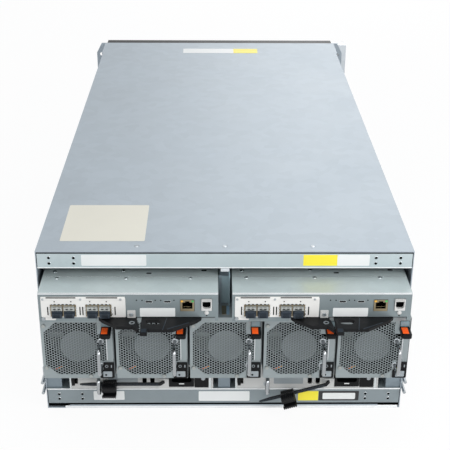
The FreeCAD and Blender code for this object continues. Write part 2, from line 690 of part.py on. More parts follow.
def io_case():
    """The left canister's sheet case: open towards the board, with a bay under its face for the levers."""
    sheet, deep = dim.io_sheet, io_front - io_face
    x = (io_left, io_left + io_wide)
    body = solid_of("io_case", "XZ_Plane", -io_front, deep,
                    lambda sketch: rectangle(sketch, x, (io_low, io_top)))
    inside = (x[0] + sheet, x[1] - sheet)
    remove(body, "io_hollow", "XZ_Plane", -io_front, deep - dim.lever_bay_deep - sheet,
           lambda sketch: rectangle(sketch, inside, (io_low + sheet, io_top - sheet)))
    remove(body, "io_hollow_over_bay", "XZ_Plane", -io_front, deep - sheet,
           lambda sketch: rectangle(sketch, inside, (lever_roof + sheet, io_top - sheet)))
    remove(body, "lever_bay", "XZ_Plane", -io_face, dim.lever_bay_deep,
           lambda sketch: rectangle(sketch, (bay_left, bay_right), (io_low, lever_roof)), back=True)

    def windows(sketch):
        for window in (cage_window(0), cage_window(1), jack_window(), serial_window(),
                       usb_window(0), usb_window(1)):
            rectangle(sketch, *window)

    remove(body, "port_windows", "XZ_Plane", -io_face, sheet, windows, back=True)
    apron = io_low - dim.io_apron
    add(body, "face_apron", "XZ_Plane", -io_face - sheet, sheet,
        lambda sketch: rectangle(sketch, (x[0], bay_left), (apron, io_low)))
    add(body, "lever_pins", "XY_Plane", io_low, dim.lever_bay_tall, lambda sketch: [
        circle(sketch, pin, lever_pin_y, dim.lever_pin_radius) for pin in (short_pin_x, long_pin_x)])
    return body


def io_ports():
    """The canister's port plate, transceiver cages with their plugs, sockets and the circuit card."""
    plate_x = (port_plate_left, port_plate_left + dim.port_plate_wide)
    plate_z = (port_plate_top - dim.port_plate_tall, port_plate_top)
    cages = [cage_window(0), cage_window(1)]
    plate = solid_of("port_plate", "XZ_Plane", -io_face, dim.port_plate_sheet,
                     lambda sketch: [rectangle(sketch, plate_x, plate_z)] + [
                         rectangle(sketch, *cage) for cage in cages])
    pieces = [plate]
    gap, wall = dim.touch_gap, dim.cage_wall
    stand = dim.port_plate_sheet + dim.cage_stand
    for index, (x, z) in enumerate(cages, 1):
        shell = block(f"cage_shell_{index}", (x[0] + gap, x[1] - gap),
                      (io_face - stand, io_face + dim.cage_deep), (z[0] + gap, z[1] - gap))
        middle = (x[0] + x[1]) / 2
        half = dim.cage_wide / 2 - gap
        mouths = [(x[0] + gap + wall, middle - wall / 2), (middle + wall / 2, x[1] - gap - wall)]
        depth = (io_face - stand, io_face + dim.cage_deep - wall)
        tall = (z[0] + gap + wall, z[1] - gap - wall)
        tools = [block(f"cage_mouth_{index}_{port}", mouth, depth, tall) for port, mouth in enumerate(mouths, 1)]
        pieces.append(less(f"cage_{index}", shell, tools))
        for port, mouth in enumerate(mouths, 1):
            low = z[0] + gap + wall
            x = (mouth[0] + gap, mouth[1] - gap)
            pieces.append(block(f"plug_{index}_{port}", x, (io_face - dim.plug_reach, io_face + dim.plug_in),
                                (low, low + dim.plug_tall)))
            pieces.append(block(f"transceiver_{index}_{port}", x, (io_face - stand, io_face + dim.plug_in),
                                (low + dim.plug_tall + gap, z[1] - gap * 2 - wall)))
    for name, window, mouth, deep in (
            ("jack", jack_window(), (dim.jack_mouth_wide, dim.jack_mouth_tall), dim.jack_deep),
            ("serial", serial_window(), (dim.serial_mouth, dim.serial_mouth), dim.jack_deep)):
        x, z = window
        shell = block(f"{name}_shell", (x[0] + gap, x[1] - gap), (io_face - dim.cage_stand, io_face + deep),
                      (z[0] + gap, z[1] - gap))
        middle, centre = (x[0] + x[1]) / 2, (z[0] + z[1]) / 2
        hole = block(f"{name}_mouth", (middle - mouth[0] / 2, middle + mouth[0] / 2),
                     (io_face - dim.cage_stand, io_face + deep - 2 * wall),
                     (centre - mouth[1] / 2, centre + mouth[1] / 2))
        pieces.append(less(f"{name}_socket", shell, [hole]))
    for index in range(2):
        x, z = usb_window(index)
        pieces.append(block(f"usb_{index + 1}", (x[0] + gap, x[1] - gap),
                            (io_face, io_face + dim.jack_deep / 2), (z[0] + gap, z[1] - gap)))
    low = lever_roof + dim.io_sheet + dim.touch_gap
    pieces.append(block("io_card", (io_left + dim.io_sheet + gap, io_left + io_wide - dim.io_sheet - gap),
                        (io_face + dim.cage_deep + dim.touch_gap, io_front), (low, low + dim.card_sheet)))
    return pieces


def ejector_lever(name, pin_x, side, long, front_reach, slope, tab):
    """A flat lever on a vertical pin: side is the way it points, front_reach how far it stands out,
    and slope how far along it gets before it stands out that far."""
    low = io_low + (dim.lever_bay_tall - dim.lever_sheet) / 2
    near, far = pin_x - dim.lever_round * side, pin_x + long * side
    out = lever_pin_y - front_reach
    body = new_body(name)
    profile = sketch_on(body, f"{name}_outline", "XY_Plane", low)
    polygon(profile, [
        (near, lever_pin_y + dim.lever_round), (near, lever_pin_y - dim.lever_round / 2),
        (near + dim.lever_heel * side, lever_pin_y - dim.lever_round * 1.3),
        (pin_x + slope * side, out), (far, out), (far, lever_pin_y + dim.lever_back / 3),
        (pin_x + dim.lever_round * side * 1.5, lever_pin_y + dim.lever_back / 2)])
    feature(body, "Pad", f"{name}_plate", profile, dim.lever_sheet)
    if tab:
        edge = far - dim.lever_tab_wide * side
        add(body, f"{name}_tab", "XY_Plane", low, dim.lever_sheet, lambda sketch: rectangle(
            sketch, (edge, far), (out - dim.lever_tab_long, out)))
        hole_x = pin_x + dim.finger_along * side
        half = dim.finger_wide / 2
        hole_y = out + dim.finger_front
        remove(body, f"{name}_finger_hole", "XY_Plane", low, dim.lever_sheet, lambda sketch: rectangle(
            sketch, (hole_x - half, hole_x + half), (hole_y, hole_y + dim.finger_tall)))
        rounded(body, f"{name}_hole_ends", dim.finger_tall / 2 - 0.05, lambda at, way: upright(way)
                and abs(abs(at.x - hole_x.number) - half.number) < 0.01
                and hole_y.number - 0.01 < at.y < hole_y.number + dim.finger_tall.number + 0.01)
    remove(body, f"{name}_bore", "XY_Plane", low, dim.lever_sheet, lambda sketch: circle(
        sketch, pin_x, lever_pin_y, dim.lever_pin_radius + dim.pin_fit))
    near_x = near.number
    rounded(body, f"{name}_root", dim.lever_round / 2, lambda at, way: upright(way)
            and abs(at.x - near_x) < 0.01)
    return body


# ---------------------------------------------------------------- fan modules

fan_left = -inner_half + dim.fan_left_gap
fan_right = fan_left + fan_wide
fan_face = rear - dim.fan_reach
rotor_rear = fan_face + dim.fan_sheet + dim.rotor_gap
rotor_middle_z = fan_low + fan_tall / 2
fan_latch_z = fan_top - dim.fan_latch_drop
fan_latch_right = fan_right - dim.fan_latch_inset
fan_latch_left = fan_latch_right - dim.fan_latch_wide


def fan_middle(index):
    return -inner_half + dim.fan_left_gap + fan_wide / 2 + fan_pitch * index


def mesh_centres():
    """Centres of the grille's holes on a staggered grid, within a field with cut corners."""
    half_x = fan_wide.number / 2 - dim.mesh_margin.number - dim.mesh_hole.number / 2
    half_z = fan_tall.number / 2 - dim.mesh_margin.number - dim.mesh_hole.number / 2
    pitch_x, pitch_z = dim.mesh_pitch.number * math.sqrt(3) / 2, dim.mesh_pitch.number
    notch_left = fan_latch_left.number - fan_middle(0).number - dim.mesh_hole.number
    notch_low = fan_latch_z.number - dim.fan_latch_travel.number - rotor_middle_z.number - pitch_z
    keeper_top = dim.keeper_tall.number + dim.keeper_rise.number - fan_tall.number / 2 + pitch_z / 2
    keeper_left = fan_wide.number / 2 - dim.keeper_wide.number - dim.mesh_hole.number
    columns, rows = int(half_x / pitch_x), int(half_z / pitch_z) + 1
    centres = []
    for column in range(-columns, columns + 1):
        for row in range(-rows, rows + 1):
            x, z = column * pitch_x, (row + 0.5 * (column % 2)) * pitch_z
            cut_corner = abs(x) + abs(z) > half_x + half_z - dim.mesh_corner.number
            behind_latch = x > notch_left and z > notch_low
            behind_keeper = x > keeper_left and z < keeper_top
            if abs(z) <= half_z and not (cut_corner or behind_latch or behind_keeper):
                centres.append((x, z))
    return centres


def fan_mesh(sketch):
    """The six-sided holes of the grille."""
    radius = dim.mesh_hole.number / math.sqrt(3)
    for x, z in mesh_centres():
        middle = VECTOR(fan_middle(0).number + x, rotor_middle_z.number + z)
        corners = [middle + VECTOR(radius * math.cos(math.radians(60 * step)),
                                   radius * math.sin(math.radians(60 * step))) for step in range(6)]
        sketch.addGeometry([Part.LineSegment(a, b) for a, b in zip(corners, corners[1:] + corners[:1])])


def fan_case():
    """A fan module's case: a sheet box open to the front, with a perforated face and the motor's spider."""
    sheet = dim.fan_sheet
    body = solid_of("fan_case", "XZ_Plane", -fan_face - dim.fan_deep, dim.fan_deep,
                    lambda sketch: rectangle(sketch, (fan_left, fan_right), (fan_low, fan_top)))
    remove(body, "fan_hollow", "XZ_Plane", -fan_face - dim.fan_deep, dim.fan_deep - sheet,
           lambda sketch: rectangle(sketch, (fan_left + sheet, fan_right - sheet),
                                    (fan_low + sheet, fan_top - sheet)))
    notch_z = (fan_latch_z - dim.fan_latch_thick - dim.fan_latch_travel - dim.touch_gap, fan_top - sheet * 2)
    remove(body, "latch_notch", "XZ_Plane", -fan_face, sheet, lambda sketch: rectangle(
        sketch, (fan_latch_left - dim.touch_gap, fan_latch_right + dim.touch_gap), notch_z), back=True)
    remove(body, "grille", "XZ_Plane", -fan_face, sheet, fan_mesh, back=True)
    duct = rotor_rear + dim.rotor_deep + dim.motor_gap
    middle = fan_middle(0)
    inside_x = (fan_left + sheet, fan_right - sheet)
    inside_z = (fan_low + sheet, fan_top - sheet)
    add(body, "duct_ring", "XZ_Plane", -duct - dim.duct_sheet, dim.duct_sheet, lambda sketch: [
        rectangle(sketch, inside_x, inside_z), circle(sketch, middle, rotor_middle_z, dim.duct_radius)])
    half = dim.spoke_wide / 2
    add(body, "spoke_upright", "XZ_Plane", -duct - dim.duct_sheet, dim.duct_sheet,
        lambda sketch: rectangle(sketch, (middle - half, middle + half), inside_z))
    add(body, "spoke_level", "XZ_Plane", -duct - dim.duct_sheet, dim.duct_sheet,
        lambda sketch: rectangle(sketch, inside_x, (rotor_middle_z - half, rotor_middle_z + half)))
    add(body, "motor_seat", "XZ_Plane", -duct - dim.duct_sheet, dim.duct_sheet,
        lambda sketch: circle(sketch, middle, rotor_middle_z, dim.motor_radius))
    add(body, "motor_shaft", "XZ_Plane", -duct, dim.rotor_deep - dim.blade_sheet,
        lambda sketch: circle(sketch, middle, rotor_middle_z, dim.shaft_radius))
    keeper_z = (fan_low + dim.keeper_rise, fan_low + dim.keeper_rise + dim.keeper_tall)
    add(body, "keeper_plate", "XZ_Plane", -fan_face, dim.keeper_sheet,
        lambda sketch: rectangle(sketch, (fan_right - dim.keeper_wide, fan_right), keeper_z))
    return body


def wire_run(name, foot, length, along="z"):
    """A straight stretch of the wire, eight-sided, from its foot along z or +y."""
    prism = doc.addObject("Part::Prism", name)
    prism.Polygon = WIRE_SIDES
    turn = FreeCAD.Rotation(VECTOR(0, 0, 1), 180 / WIRE_SIDES)
    lay = FreeCAD.Rotation(VECTOR(1, 0, 0), -90) if along == "y" else FreeCAD.Rotation()
    prism.Placement = FreeCAD.Placement(VECTOR(), lay * turn)
    bind(prism, Circumradius=dim.wire_radius, Height=length)
    return bind(prism, Placement__Base__x=foot[0], Placement__Base__y=foot[1], Placement__Base__z=foot[2])


def wire_bend(name, centre, start):
    """A quarter ring of the wire about an axis along x, from the start angle towards +z of +y."""
    section = doc.addObject("Part::RegularPolygon", f"{name}_section")
    section.Polygon = WIRE_SIDES
    lay = FreeCAD.Rotation(VECTOR(1, 0, 0), 90) * FreeCAD.Rotation(VECTOR(0, 0, 1), 180 / WIRE_SIDES)
    section.Placement = FreeCAD.Placement(VECTOR(), lay)
    bind(section, Circumradius=dim.wire_radius)
    bind(section, Placement__Base__x=dim.wire_bend)
    ring = doc.addObject("Part::Revolution", name)
    ring.Source, ring.Axis, ring.Angle, ring.Solid = section, VECTOR(0, 0, 1), 90, True
    upright_ring = FreeCAD.Rotation(VECTOR(1, 1, 1), 120)
    placed = group(f"{name}_placed", [ring])
    placed.Placement = FreeCAD.Placement(VECTOR(), upright_ring * FreeCAD.Rotation(VECTOR(0, 0, 1), start))
    return bind(placed, Placement__Base__x=centre[0], Placement__Base__y=centre[1],
                Placement__Base__z=centre[2])


def wire_handle(name, x, foot_y, top, span, reach):
    """A bent wire: two legs out of the face, joined by an upright grip."""
    grip_y, low, bend = foot_y - reach, top - span, dim.wire_bend
    leg = reach - bend
    return joined(name, [
        wire_run(f"{name}_upper_leg", (x, grip_y + bend, top), leg, "y"),
        wire_bend(f"{name}_upper_bend", (x, grip_y + bend, top - bend), 90),
        wire_run(f"{name}_grip", (x, grip_y, low + bend), span - bend * 2),
        wire_bend(f"{name}_lower_bend", (x, grip_y + bend, low + bend), 180),
        wire_run(f"{name}_lower_leg", (x, grip_y + bend, low), leg, "y")])


def fan_latch():
    """The sprung latch: a leaf in the notch of the face, with a thumb tab standing out."""
    x = (fan_latch_left, fan_latch_right)
    body = solid_of("fan_latch_tab", "XY_Plane", fan_latch_z - dim.fan_latch_thick, dim.fan_latch_thick,
                    lambda sketch: rectangle(sketch, x, (fan_face - dim.fan_latch_reach, fan_face)))
    tab_end = fan_face.number - dim.fan_latch_reach.number
    rounded(body, "tab_corners", dim.fan_latch_round, lambda at, way: upright(way)
            and abs(at.y - tab_end) < 0.01)
    leaf_top = fan_top - dim.fan_sheet * 2 - dim.touch_gap - dim.fan_latch_travel / 2
    add(body, "latch_leaf", "XZ_Plane", -fan_face - dim.fan_leaf, dim.fan_leaf, lambda sketch: rectangle(
        sketch, x, (fan_latch_z - dim.fan_latch_thick, leaf_top)))
    inset = dim.fan_latch_round / 2
    add(body, "thumb_pad", "XY_Plane", fan_latch_z, dim.fan_latch_pad, lambda sketch: rectangle(
        sketch, (x[0] + inset, x[1] - inset), (fan_face - dim.fan_latch_reach + inset, fan_face - inset)))
    return body


def fan_rotor():
    """The rotor: a hub with a bore for the shaft and a ring of cambered blades."""
    middle = fan_middle(0)
    body = new_body("fan_rotor")
    hub = sketch_on(body, "hub_outline", "XZ_Plane", -rotor_rear - dim.rotor_deep)
    circle(hub, 0, 0, dim.hub_radius)
    feature(body, "Pad", "hub", hub, dim.rotor_deep)
    remove(body, "shaft_bore", "XZ_Plane", -rotor_rear - dim.rotor_deep, dim.rotor_deep - dim.blade_sheet * 0.5,
           lambda sketch: circle(sketch, 0, 0, dim.shaft_radius + dim.shaft_fit))
    blade = sketch_on(body, "blade_section", "YZ_Plane", dim.hub_radius - dim.blade_sheet)
    low, high = rotor_rear + dim.blade_sheet, rotor_rear + dim.rotor_deep - dim.blade_sheet
    fold, rise, half = (low + high) / 2, (high - low) / 3, dim.blade_sheet / 2
    polygon(blade, [(low, -half - rise), (low, half - rise), (fold, half + rise / 3), (high, half + rise),
                    (high, rise - half), (fold, rise / 3 - half)])
    pad = feature(body, "Pad", "blade", blade, dim.blade_tip - dim.hub_radius)
    doc.recompute()
    ring = body.newObject("PartDesign::PolarPattern", "blades")
    ring.Originals = [pad]
    ring.Axis = (origin_feature(body, "Y_Axis"), [""])
    ring.Angle = 360
    ring.Occurrences = int(dim.blade_count.number)
    body.Tip = ring
    return moved("fan_rotor_placed", body, x=middle, z=rotor_middle_z)


# ---------------------------------------------------------------- power supplies

power_left = dim.power_centre_gap
power_right = power_left + power_wide
inlet_left = power_left + dim.inlet_left
inlet_top = power_top - dim.inlet_drop
tie_middle = power_left + dim.tie_left + dim.tie_wide / 2
tie_low = power_low + dim.power_sheet
strap_low = tie_low + dim.strap_rise
power_latch_left = power_left + dim.power_latch_left
power_latch_low = power_low + (dim.power_tall - dim.power_latch_tall) / 2


def power_case():
    """The right power supply's case, with its mains inlet, latch slot, tie base and capsule windows."""
    sheet, wall = dim.power_sheet, dim.inlet_wall
    far = rear + dim.power_deep
    body = solid_of("power_case", "XZ_Plane", -far, dim.power_deep,
                    lambda sketch: rectangle(sketch, (power_left, power_right), (power_low, power_top)))
    remove(body, "power_hollow", "XZ_Plane", -far, dim.power_deep - sheet, lambda sketch: rectangle(
        sketch, (power_left + sheet, power_right - sheet), (power_low + sheet, power_top - sheet)))
    x, z = (inlet_left, inlet_left + dim.inlet_wide), (inlet_top - dim.inlet_tall, inlet_top)
    add(body, "inlet_housing", "XZ_Plane", -rear - dim.inlet_deep - wall, dim.inlet_deep + wall - sheet / 2,
        lambda sketch: rectangle(sketch, (x[0] - wall, x[1] + wall), (z[0] - wall, z[1] + wall)))
    remove(body, "inlet_mouth", "XZ_Plane", -rear, dim.inlet_deep,
           lambda sketch: rectangle(sketch, x, z), back=True)
    gap = dim.power_latch_gap
    slot_right = power_latch_left + dim.power_latch_wide + dim.power_latch_travel + gap
    remove(body, "latch_slot", "XZ_Plane", -rear, sheet, lambda sketch: rectangle(
        sketch, (power_latch_left - gap, slot_right),
        (power_latch_low - gap, power_latch_low + dim.power_latch_tall + gap)), back=True)
    windows = [power_left + dim.window_left, power_left + dim.window_left + dim.window_pitch]
    window_z = (power_top - dim.window_drop - dim.window_tall, power_top - dim.window_drop)
    remove(body, "windows", "XZ_Plane", -rear, sheet, lambda sketch: [
        rectangle(sketch, (left, left + dim.window_wide), window_z) for left in windows], back=True)
    reach = (windows[0].number - 0.1, (windows[1] + dim.window_wide).number + 0.1)
    heights = [height.number for height in window_z]
    rounded(body, "window_ends", dim.window_wide / 2 - 0.05, lambda at, way: abs(way.y) > 0.99
            and reach[0] < at.x < reach[1] and min(abs(at.z - height) for height in heights) < 0.01)
    add(body, "tie_base", "XZ_Plane", -rear, dim.tie_stand, lambda sketch: rectangle(
        sketch, (tie_middle - dim.tie_wide / 2, tie_middle + dim.tie_wide / 2),
        (tie_low, tie_low + dim.tie_tall)))
    return body


def power_latch():
    """The sliding latch of a power supply: a thumb rib in the slot and its slider behind the face."""
    x = (power_latch_left, power_latch_left + dim.power_latch_wide)
    z = (power_latch_low, power_latch_low + dim.power_latch_tall)
    behind = rear + dim.power_sheet + dim.power_latch_gap
    body = solid_of("power_latch_body", "XZ_Plane", -behind, dim.power_latch_reach + dim.power_sheet
                    + dim.power_latch_gap, lambda sketch: rectangle(sketch, x, z))
    margin = dim.power_latch_travel / 2
    add(body, "latch_plate", "XZ_Plane", -behind - dim.power_latch_deep, dim.power_latch_deep,
        lambda sketch: rectangle(sketch, (x[0] - margin / 2, x[1]), (z[0] - margin, z[1] + margin)))
    return body


def strap(name, long):
    """The retention strap: a flat nylon band that leaves the tie base and runs to the side."""
    sheet, stand = dim.strap_sheet, dim.strap_stand
    root_y = rear - dim.tie_stand
    line = root_y - stand
    end = tie_middle - long
    body = solid_of(f"{name}_band", "XY_Plane", strap_low, dim.strap_wide, lambda sketch: polygon(sketch, [
        (tie_middle + sheet, root_y), (tie_middle - sheet, root_y), (tie_middle - stand, line),
        (end, line), (end, line - sheet), (tie_middle - stand + sheet / 2, line - sheet)]))
    top, taper = strap_low + dim.strap_wide, dim.tip_taper

    def corners(sketch):
        for edge, inner in ((strap_low, strap_low + taper), (top, top - taper)):
            polygon(sketch, [(end, edge), (end + dim.tip_long, edge), (end, inner)])

    remove(body, f"{name}_tip", "XZ_Plane", sheet - line, sheet, corners, back=True)
    return body


def clamp(name, along):
    """The cable clamp: an open ring that slides on the strap by the loop on its top."""
    middle = tie_middle - along
    band_y = rear - dim.tie_stand - dim.strap_stand - dim.strap_sheet / 2
    gap, wall = dim.clamp_gap, dim.clamp_wall
    slot_y = (band_y - dim.strap_sheet / 2 - gap, band_y + dim.strap_sheet / 2 + gap)
    slot_z = (strap_low - gap, strap_low + dim.strap_wide + gap)
    ring_y = slot_y[0] - dim.clamp_outer
    ring_z = strap_low + dim.strap_wide / 2 - dim.clamp_drop
    level = middle - dim.clamp_wide / 2
    body = solid_of(f"{name}_body", "YZ_Plane", level, dim.clamp_wide, lambda sketch: circle(
        sketch, ring_y, ring_z, dim.clamp_outer))
    add(body, f"{name}_loop", "YZ_Plane", level, dim.clamp_wide, lambda sketch: rectangle(
        sketch, (slot_y[0] - wall, slot_y[1] + wall), (slot_z[0] - wall, slot_z[1] + wall)))
    remove(body, f"{name}_cable_way", "YZ_Plane", level, dim.clamp_wide,
           lambda sketch: circle(sketch, ring_y, ring_z, dim.clamp_inner))
    half_mouth = dim.clamp_mouth / 2
    remove(body, f"{name}_opening", "YZ_Plane", level, dim.clamp_wide, lambda sketch: rectangle(
        sketch, (ring_y - dim.clamp_outer - 1, ring_y), (ring_z - half_mouth, ring_z + half_mouth)))
    remove(body, f"{name}_strap_way", "YZ_Plane", level, dim.clamp_wide,
           lambda sketch: rectangle(sketch, slot_y, slot_z))
    return body


# ---------------------------------------------------------------- the assembly

def build_chassis():
    node("chassis_tray", chassis_tray())
    node("top_cover", top_cover())
    node("cover_screws", *cover_screws())
    node("upper_rear_beam", rear_beam("upper_beam", upper_beam_low, dim.upper_beam_tall))
    node("lower_rear_beam", rear_beam("lower_beam", dim.lower_beam_lift, dim.lower_beam_tall))
    node("inner_frame", *inner_frame())
    node("midplane_board", midplane_board())
    ear = rack_ear()
    node("rack_ears", ear, mirrored("left_ear", ear))
    node("operator_panel", operator_panel())
    bracket = rail_bracket()
    node("rail_brackets", bracket, mirrored("left_bracket", bracket))


def build_drawers():
    pieces = {"tray": [drawer_tray()], "bezel": [drawer_bezel()], "drives": drives(),
              "slides": drawer_slides(), "latch_left": [drawer_latch(-1)], "latch_right": [drawer_latch(1)]}
    for name, solids in pieces.items():
        lower = node(f"lower_drawer_{name}", *solids)
        node(f"upper_drawer_{name}", moved(f"raised_{name}", lower, z=upper_drawer_low - lower_drawer_low))


def build_canisters():
    shift = io_wide + dim.io_centre_gap
    pieces = {
        "case": [io_case()], "ports": io_ports(),
        "short_lever": [ejector_lever("short_lever", short_pin_x, 1, dim.lever_short, dim.lever_short_front,
                                      dim.lever_short_slope, False)],
        "long_lever": [ejector_lever("long_lever", long_pin_x, -1, dim.lever_long, dim.lever_long_front,
                                     dim.lever_long_slope, True)]}
    for name, solids in pieces.items():
        left = node(f"io_left_{name}", *solids)
        node(f"io_right_{name}", moved(f"shifted_{name}", left, x=shift))


def build_fans():
    handle = wire_handle("fan_handle", fan_right - dim.fan_wire_inset, fan_face, fan_top - dim.fan_wire_top,
                         dim.fan_wire_span, dim.fan_wire_reach)
    pieces = {"case": fan_case(), "handle": handle, "latch": fan_latch(), "rotor": fan_rotor()}
    for name, solid in pieces.items():
        for index in range(int(dim.fan_count.number)):
            node(f"fan_{index + 1}_{name}", moved(f"fan_{name}_{index + 1}", solid, x=fan_pitch * index))


def build_power():
    handle = wire_handle("power_handle", power_left + dim.power_wire_along, rear, power_top - dim.power_wire_top,
                         dim.power_wire_span, dim.power_wire_reach)
    pieces = {"case": power_case(), "handle": handle, "latch": power_latch()}
    shift = -power_left - power_right
    for name, solid in pieces.items():
        right = node(f"power_right_{name}", solid)
        node(f"power_left_{name}", moved(f"power_shifted_{name}", right, x=shift))
    node("power_right_strap", drooping("drooping_strap", strap("right_strap", dim.right_strap_long)))
    node("power_right_clamp", drooping("drooping_clamp", clamp("right_clamp", dim.right_clamp_along)))
    node("power_left_strap", moved("shifted_strap", strap("left_strap", dim.left_strap_long), x=shift))
    node("power_left_clamp", moved("shifted_clamp", clamp("left_clamp", dim.left_clamp_along), x=shift))


def check_document():
    """Stops when any feature failed to compute or a sub-part isn't a sound shape."""
    for thing in doc.Objects:
        if {"Invalid", "Error"} & set(thing.State):
            raise RuntimeError(f"{thing.Name} didn't compute: {thing.State}")
        if thing.TypeId == "PartDesign::Pocket":
            if thing.Shape.Volume > thing.BaseFeature.Shape.Volume - 0.1:
                raise RuntimeError(f"{thing.Name} cut nothing")
    for label, thing in nodes.items():
        if thing.Shape.isNull() or not thing.Shape.isValid():
            raise RuntimeError(f"{label} isn't a valid shape")


build_chassis()
build_drawers()
build_canisters()
build_fans()
build_power()
doc.recompute()
check_document()
os.makedirs("parts", exist_ok=True)
for label, thing in nodes.items():
    thing.Shape.exportStep(f"parts/{label}.step")
print(len(nodes), "sub-parts,", sum(len(thing.Shape.Solids) for thing in nodes.values()), "solids")
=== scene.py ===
"""Looks for the disk shelf enclosure: node materials on the frame's parts, and the small pieces on them."""
from math import cos, radians, sin, sqrt, tau

import bmesh
import bpy
from mathutils import Matrix, Vector
from mathutils.geometry import tessellate_polygon


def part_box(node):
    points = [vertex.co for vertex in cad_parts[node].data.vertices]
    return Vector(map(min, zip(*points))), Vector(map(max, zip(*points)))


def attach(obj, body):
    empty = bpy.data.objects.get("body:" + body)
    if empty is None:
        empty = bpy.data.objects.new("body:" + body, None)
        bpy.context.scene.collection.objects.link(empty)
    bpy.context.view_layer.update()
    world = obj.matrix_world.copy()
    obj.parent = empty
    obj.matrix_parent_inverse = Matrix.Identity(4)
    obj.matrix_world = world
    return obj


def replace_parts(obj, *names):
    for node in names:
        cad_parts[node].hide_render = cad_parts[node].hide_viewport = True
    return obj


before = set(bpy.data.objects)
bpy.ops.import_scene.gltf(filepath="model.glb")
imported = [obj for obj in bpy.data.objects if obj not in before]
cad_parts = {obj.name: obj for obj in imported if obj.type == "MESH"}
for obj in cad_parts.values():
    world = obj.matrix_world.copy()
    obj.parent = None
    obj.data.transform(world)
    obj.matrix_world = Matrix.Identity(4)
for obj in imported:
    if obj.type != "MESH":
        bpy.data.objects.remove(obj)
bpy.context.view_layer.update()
MM = 0.001


# ---- finishes

class Signal:
    """A shader socket that sums can be written on; each sum adds the Math node that works it out."""

    def __init__(self, finish, socket):
        self.finish, self.socket = finish, socket

    def sum(self, operation, first, second):
        return self.finish.node("Math", {0: first, 1: second}, operation=operation)

    def __add__(self, other): return self.sum("ADD", self, other)
    def __sub__(self, other): return self.sum("SUBTRACT", self, other)
    def __mul__(self, other): return self.sum("MULTIPLY", self, other)

    def part(self, name):
        return Signal(self.finish, self.socket.node.outputs[name])


def linear(colour):
    """A colour written as 0 to 255 steps, as the renderer's linear values."""
    return [((step / 255) / 12.92 if step < 11 else ((step / 255 + 0.055) / 1.055) ** 2.4)
            for step in colour] + [1]


class Nodes:
    """A shader tree that nodes are added to by kind."""

    def __init__(self, tree):
        self.tree, self.nodes = tree, tree.nodes

    def node(self, kind, inputs=None, **settings):
        made = self.nodes.new("ShaderNode" + kind)
        for setting, value in settings.items():
            setattr(made, setting, value)
        for socket, value in (inputs or {}).items():
            self.feed(made.inputs[socket], value)
        return Signal(self, next(out for out in made.outputs if out.enabled))

    def feed(self, socket, value):
        if isinstance(value, Signal):
            self.tree.links.new(value.socket, socket)
        else:
            socket.default_value = value

    def whitened(self, plain, white, share):
        """Shows white, by a share, to the camera, mirrors and glass, and the plain shader to all other rays."""
        ray = self.node("LightPath")
        seen = ray.part("Is Camera Ray") + ray.part("Is Glossy Ray") + ray.part("Is Transmission Ray")
        glow = self.node(white, {"Color": (1, 1, 1, 1), "Strength": 1.0})
        both = self.node("MixShader", {0: seen * share, 1: Signal(self, plain.outputs[0]), 2: glow})
        out = next(node for node in self.nodes if node.bl_idname.startswith("ShaderNodeOutput"))
        self.feed(out.inputs["Surface"], both)


class Finish(Nodes):
    """A material: its colour, gloss and relief come from nodes on the piece's own coordinates."""

    def __init__(self, name, roughness=0.5, metallic=0.0, **shader):
        self.material = bpy.data.materials.new(name)
        self.material.use_nodes = True
        super().__init__(self.material.node_tree)
        self.shader = self.nodes["Principled BSDF"]
        self.shader.inputs["Roughness"].default_value = roughness
        self.shader.inputs["Metallic"].default_value = metallic
        for socket, value in shader.items():
            self.shader.inputs[socket.replace("_", " ")].default_value = value
        self.place = self.node("TexCoord").part("Object")

    def noise(self, scale, detail, stretch=(1, 1, 1)):
        place = self.node("Mapping", {"Vector": self.place, "Scale": stretch})
        return self.node("TexNoise", {"Vector": place, "Scale": scale, "Detail": detail})

    def crystals(self, scale):
        return self.node("TexVoronoi", {"Vector": self.place, "Scale": scale}).part("Color")

    def blend(self, amount, first, second):
        mix = self.nodes.new("ShaderNodeMix")
        mix.data_type = "RGBA"
        for socket, value in ((0, amount), (6, first), (7, second)):
            self.feed(mix.inputs[socket], value)
        return Signal(self, mix.outputs[2])

    def paint(self, colour):
        self.feed(self.shader.inputs["Base Color"], colour)

    def gloss(self, value):
        self.feed(self.shader.inputs["Roughness"], value)

    def relief(self, height, depth, strength):
        bump = self.node("Bump", {"Height": height, "Distance": depth, "Strength": strength})
        self.feed(self.shader.inputs["Normal"], bump)
        return self


def sheet_metal(name, colour, shine, metallic, spangle, brushed=(1, 1, 1)):
    """Zinc-coated or brushed sheet: faint crystal patches, fine rolling marks and a few dull smears."""
    finish = Finish(name, shine, metallic)
    pale = linear([min(255, step * 1.05 + 4) for step in colour])
    dark = linear([step * 0.93 for step in colour])
    patch = finish.node("SeparateColor", {0: finish.crystals(70.0)})
    smear = finish.noise(9.0, 4.0)
    marks = finish.noise(420.0, 2.0, brushed)
    mixed = patch * spangle * 4 + smear * 0.7 + marks * 0.25
    finish.paint(finish.blend(mixed - 0.05, dark, pale))
    finish.gloss(smear * 0.16 + marks * 0.12 + (shine - 0.12))
    return finish.relief(marks * 0.6 + patch * 0.2, 0.00004, 0.25).material


def painted(name, colour, shine=0.45, texture=900.0, drift=0.06, sheen=0.5):
    """Powder coat or moulded plastic: a fine pebbled skin with a slow drift in its shade.

    Sheen is the strength of its clear reflection, 0.5 for a plain plastic and less for a dull one."""
    finish = Finish(name, shine, Specular_IOR_Level=sheen)
    pebbles = finish.noise(texture, 2.0)
    slow = finish.noise(14.0, 3.0)
    low = linear([step * (1 - drift) for step in colour])
    high = linear([min(255, step * (1 + drift) + 2) for step in colour])
    finish.paint(finish.blend(slow * 0.8 + pebbles * 0.2, low, high))
    finish.gloss(pebbles * 0.14 + slow * 0.1 + (shine - 0.12))
    return finish.relief(pebbles, 0.00005, 0.35).material


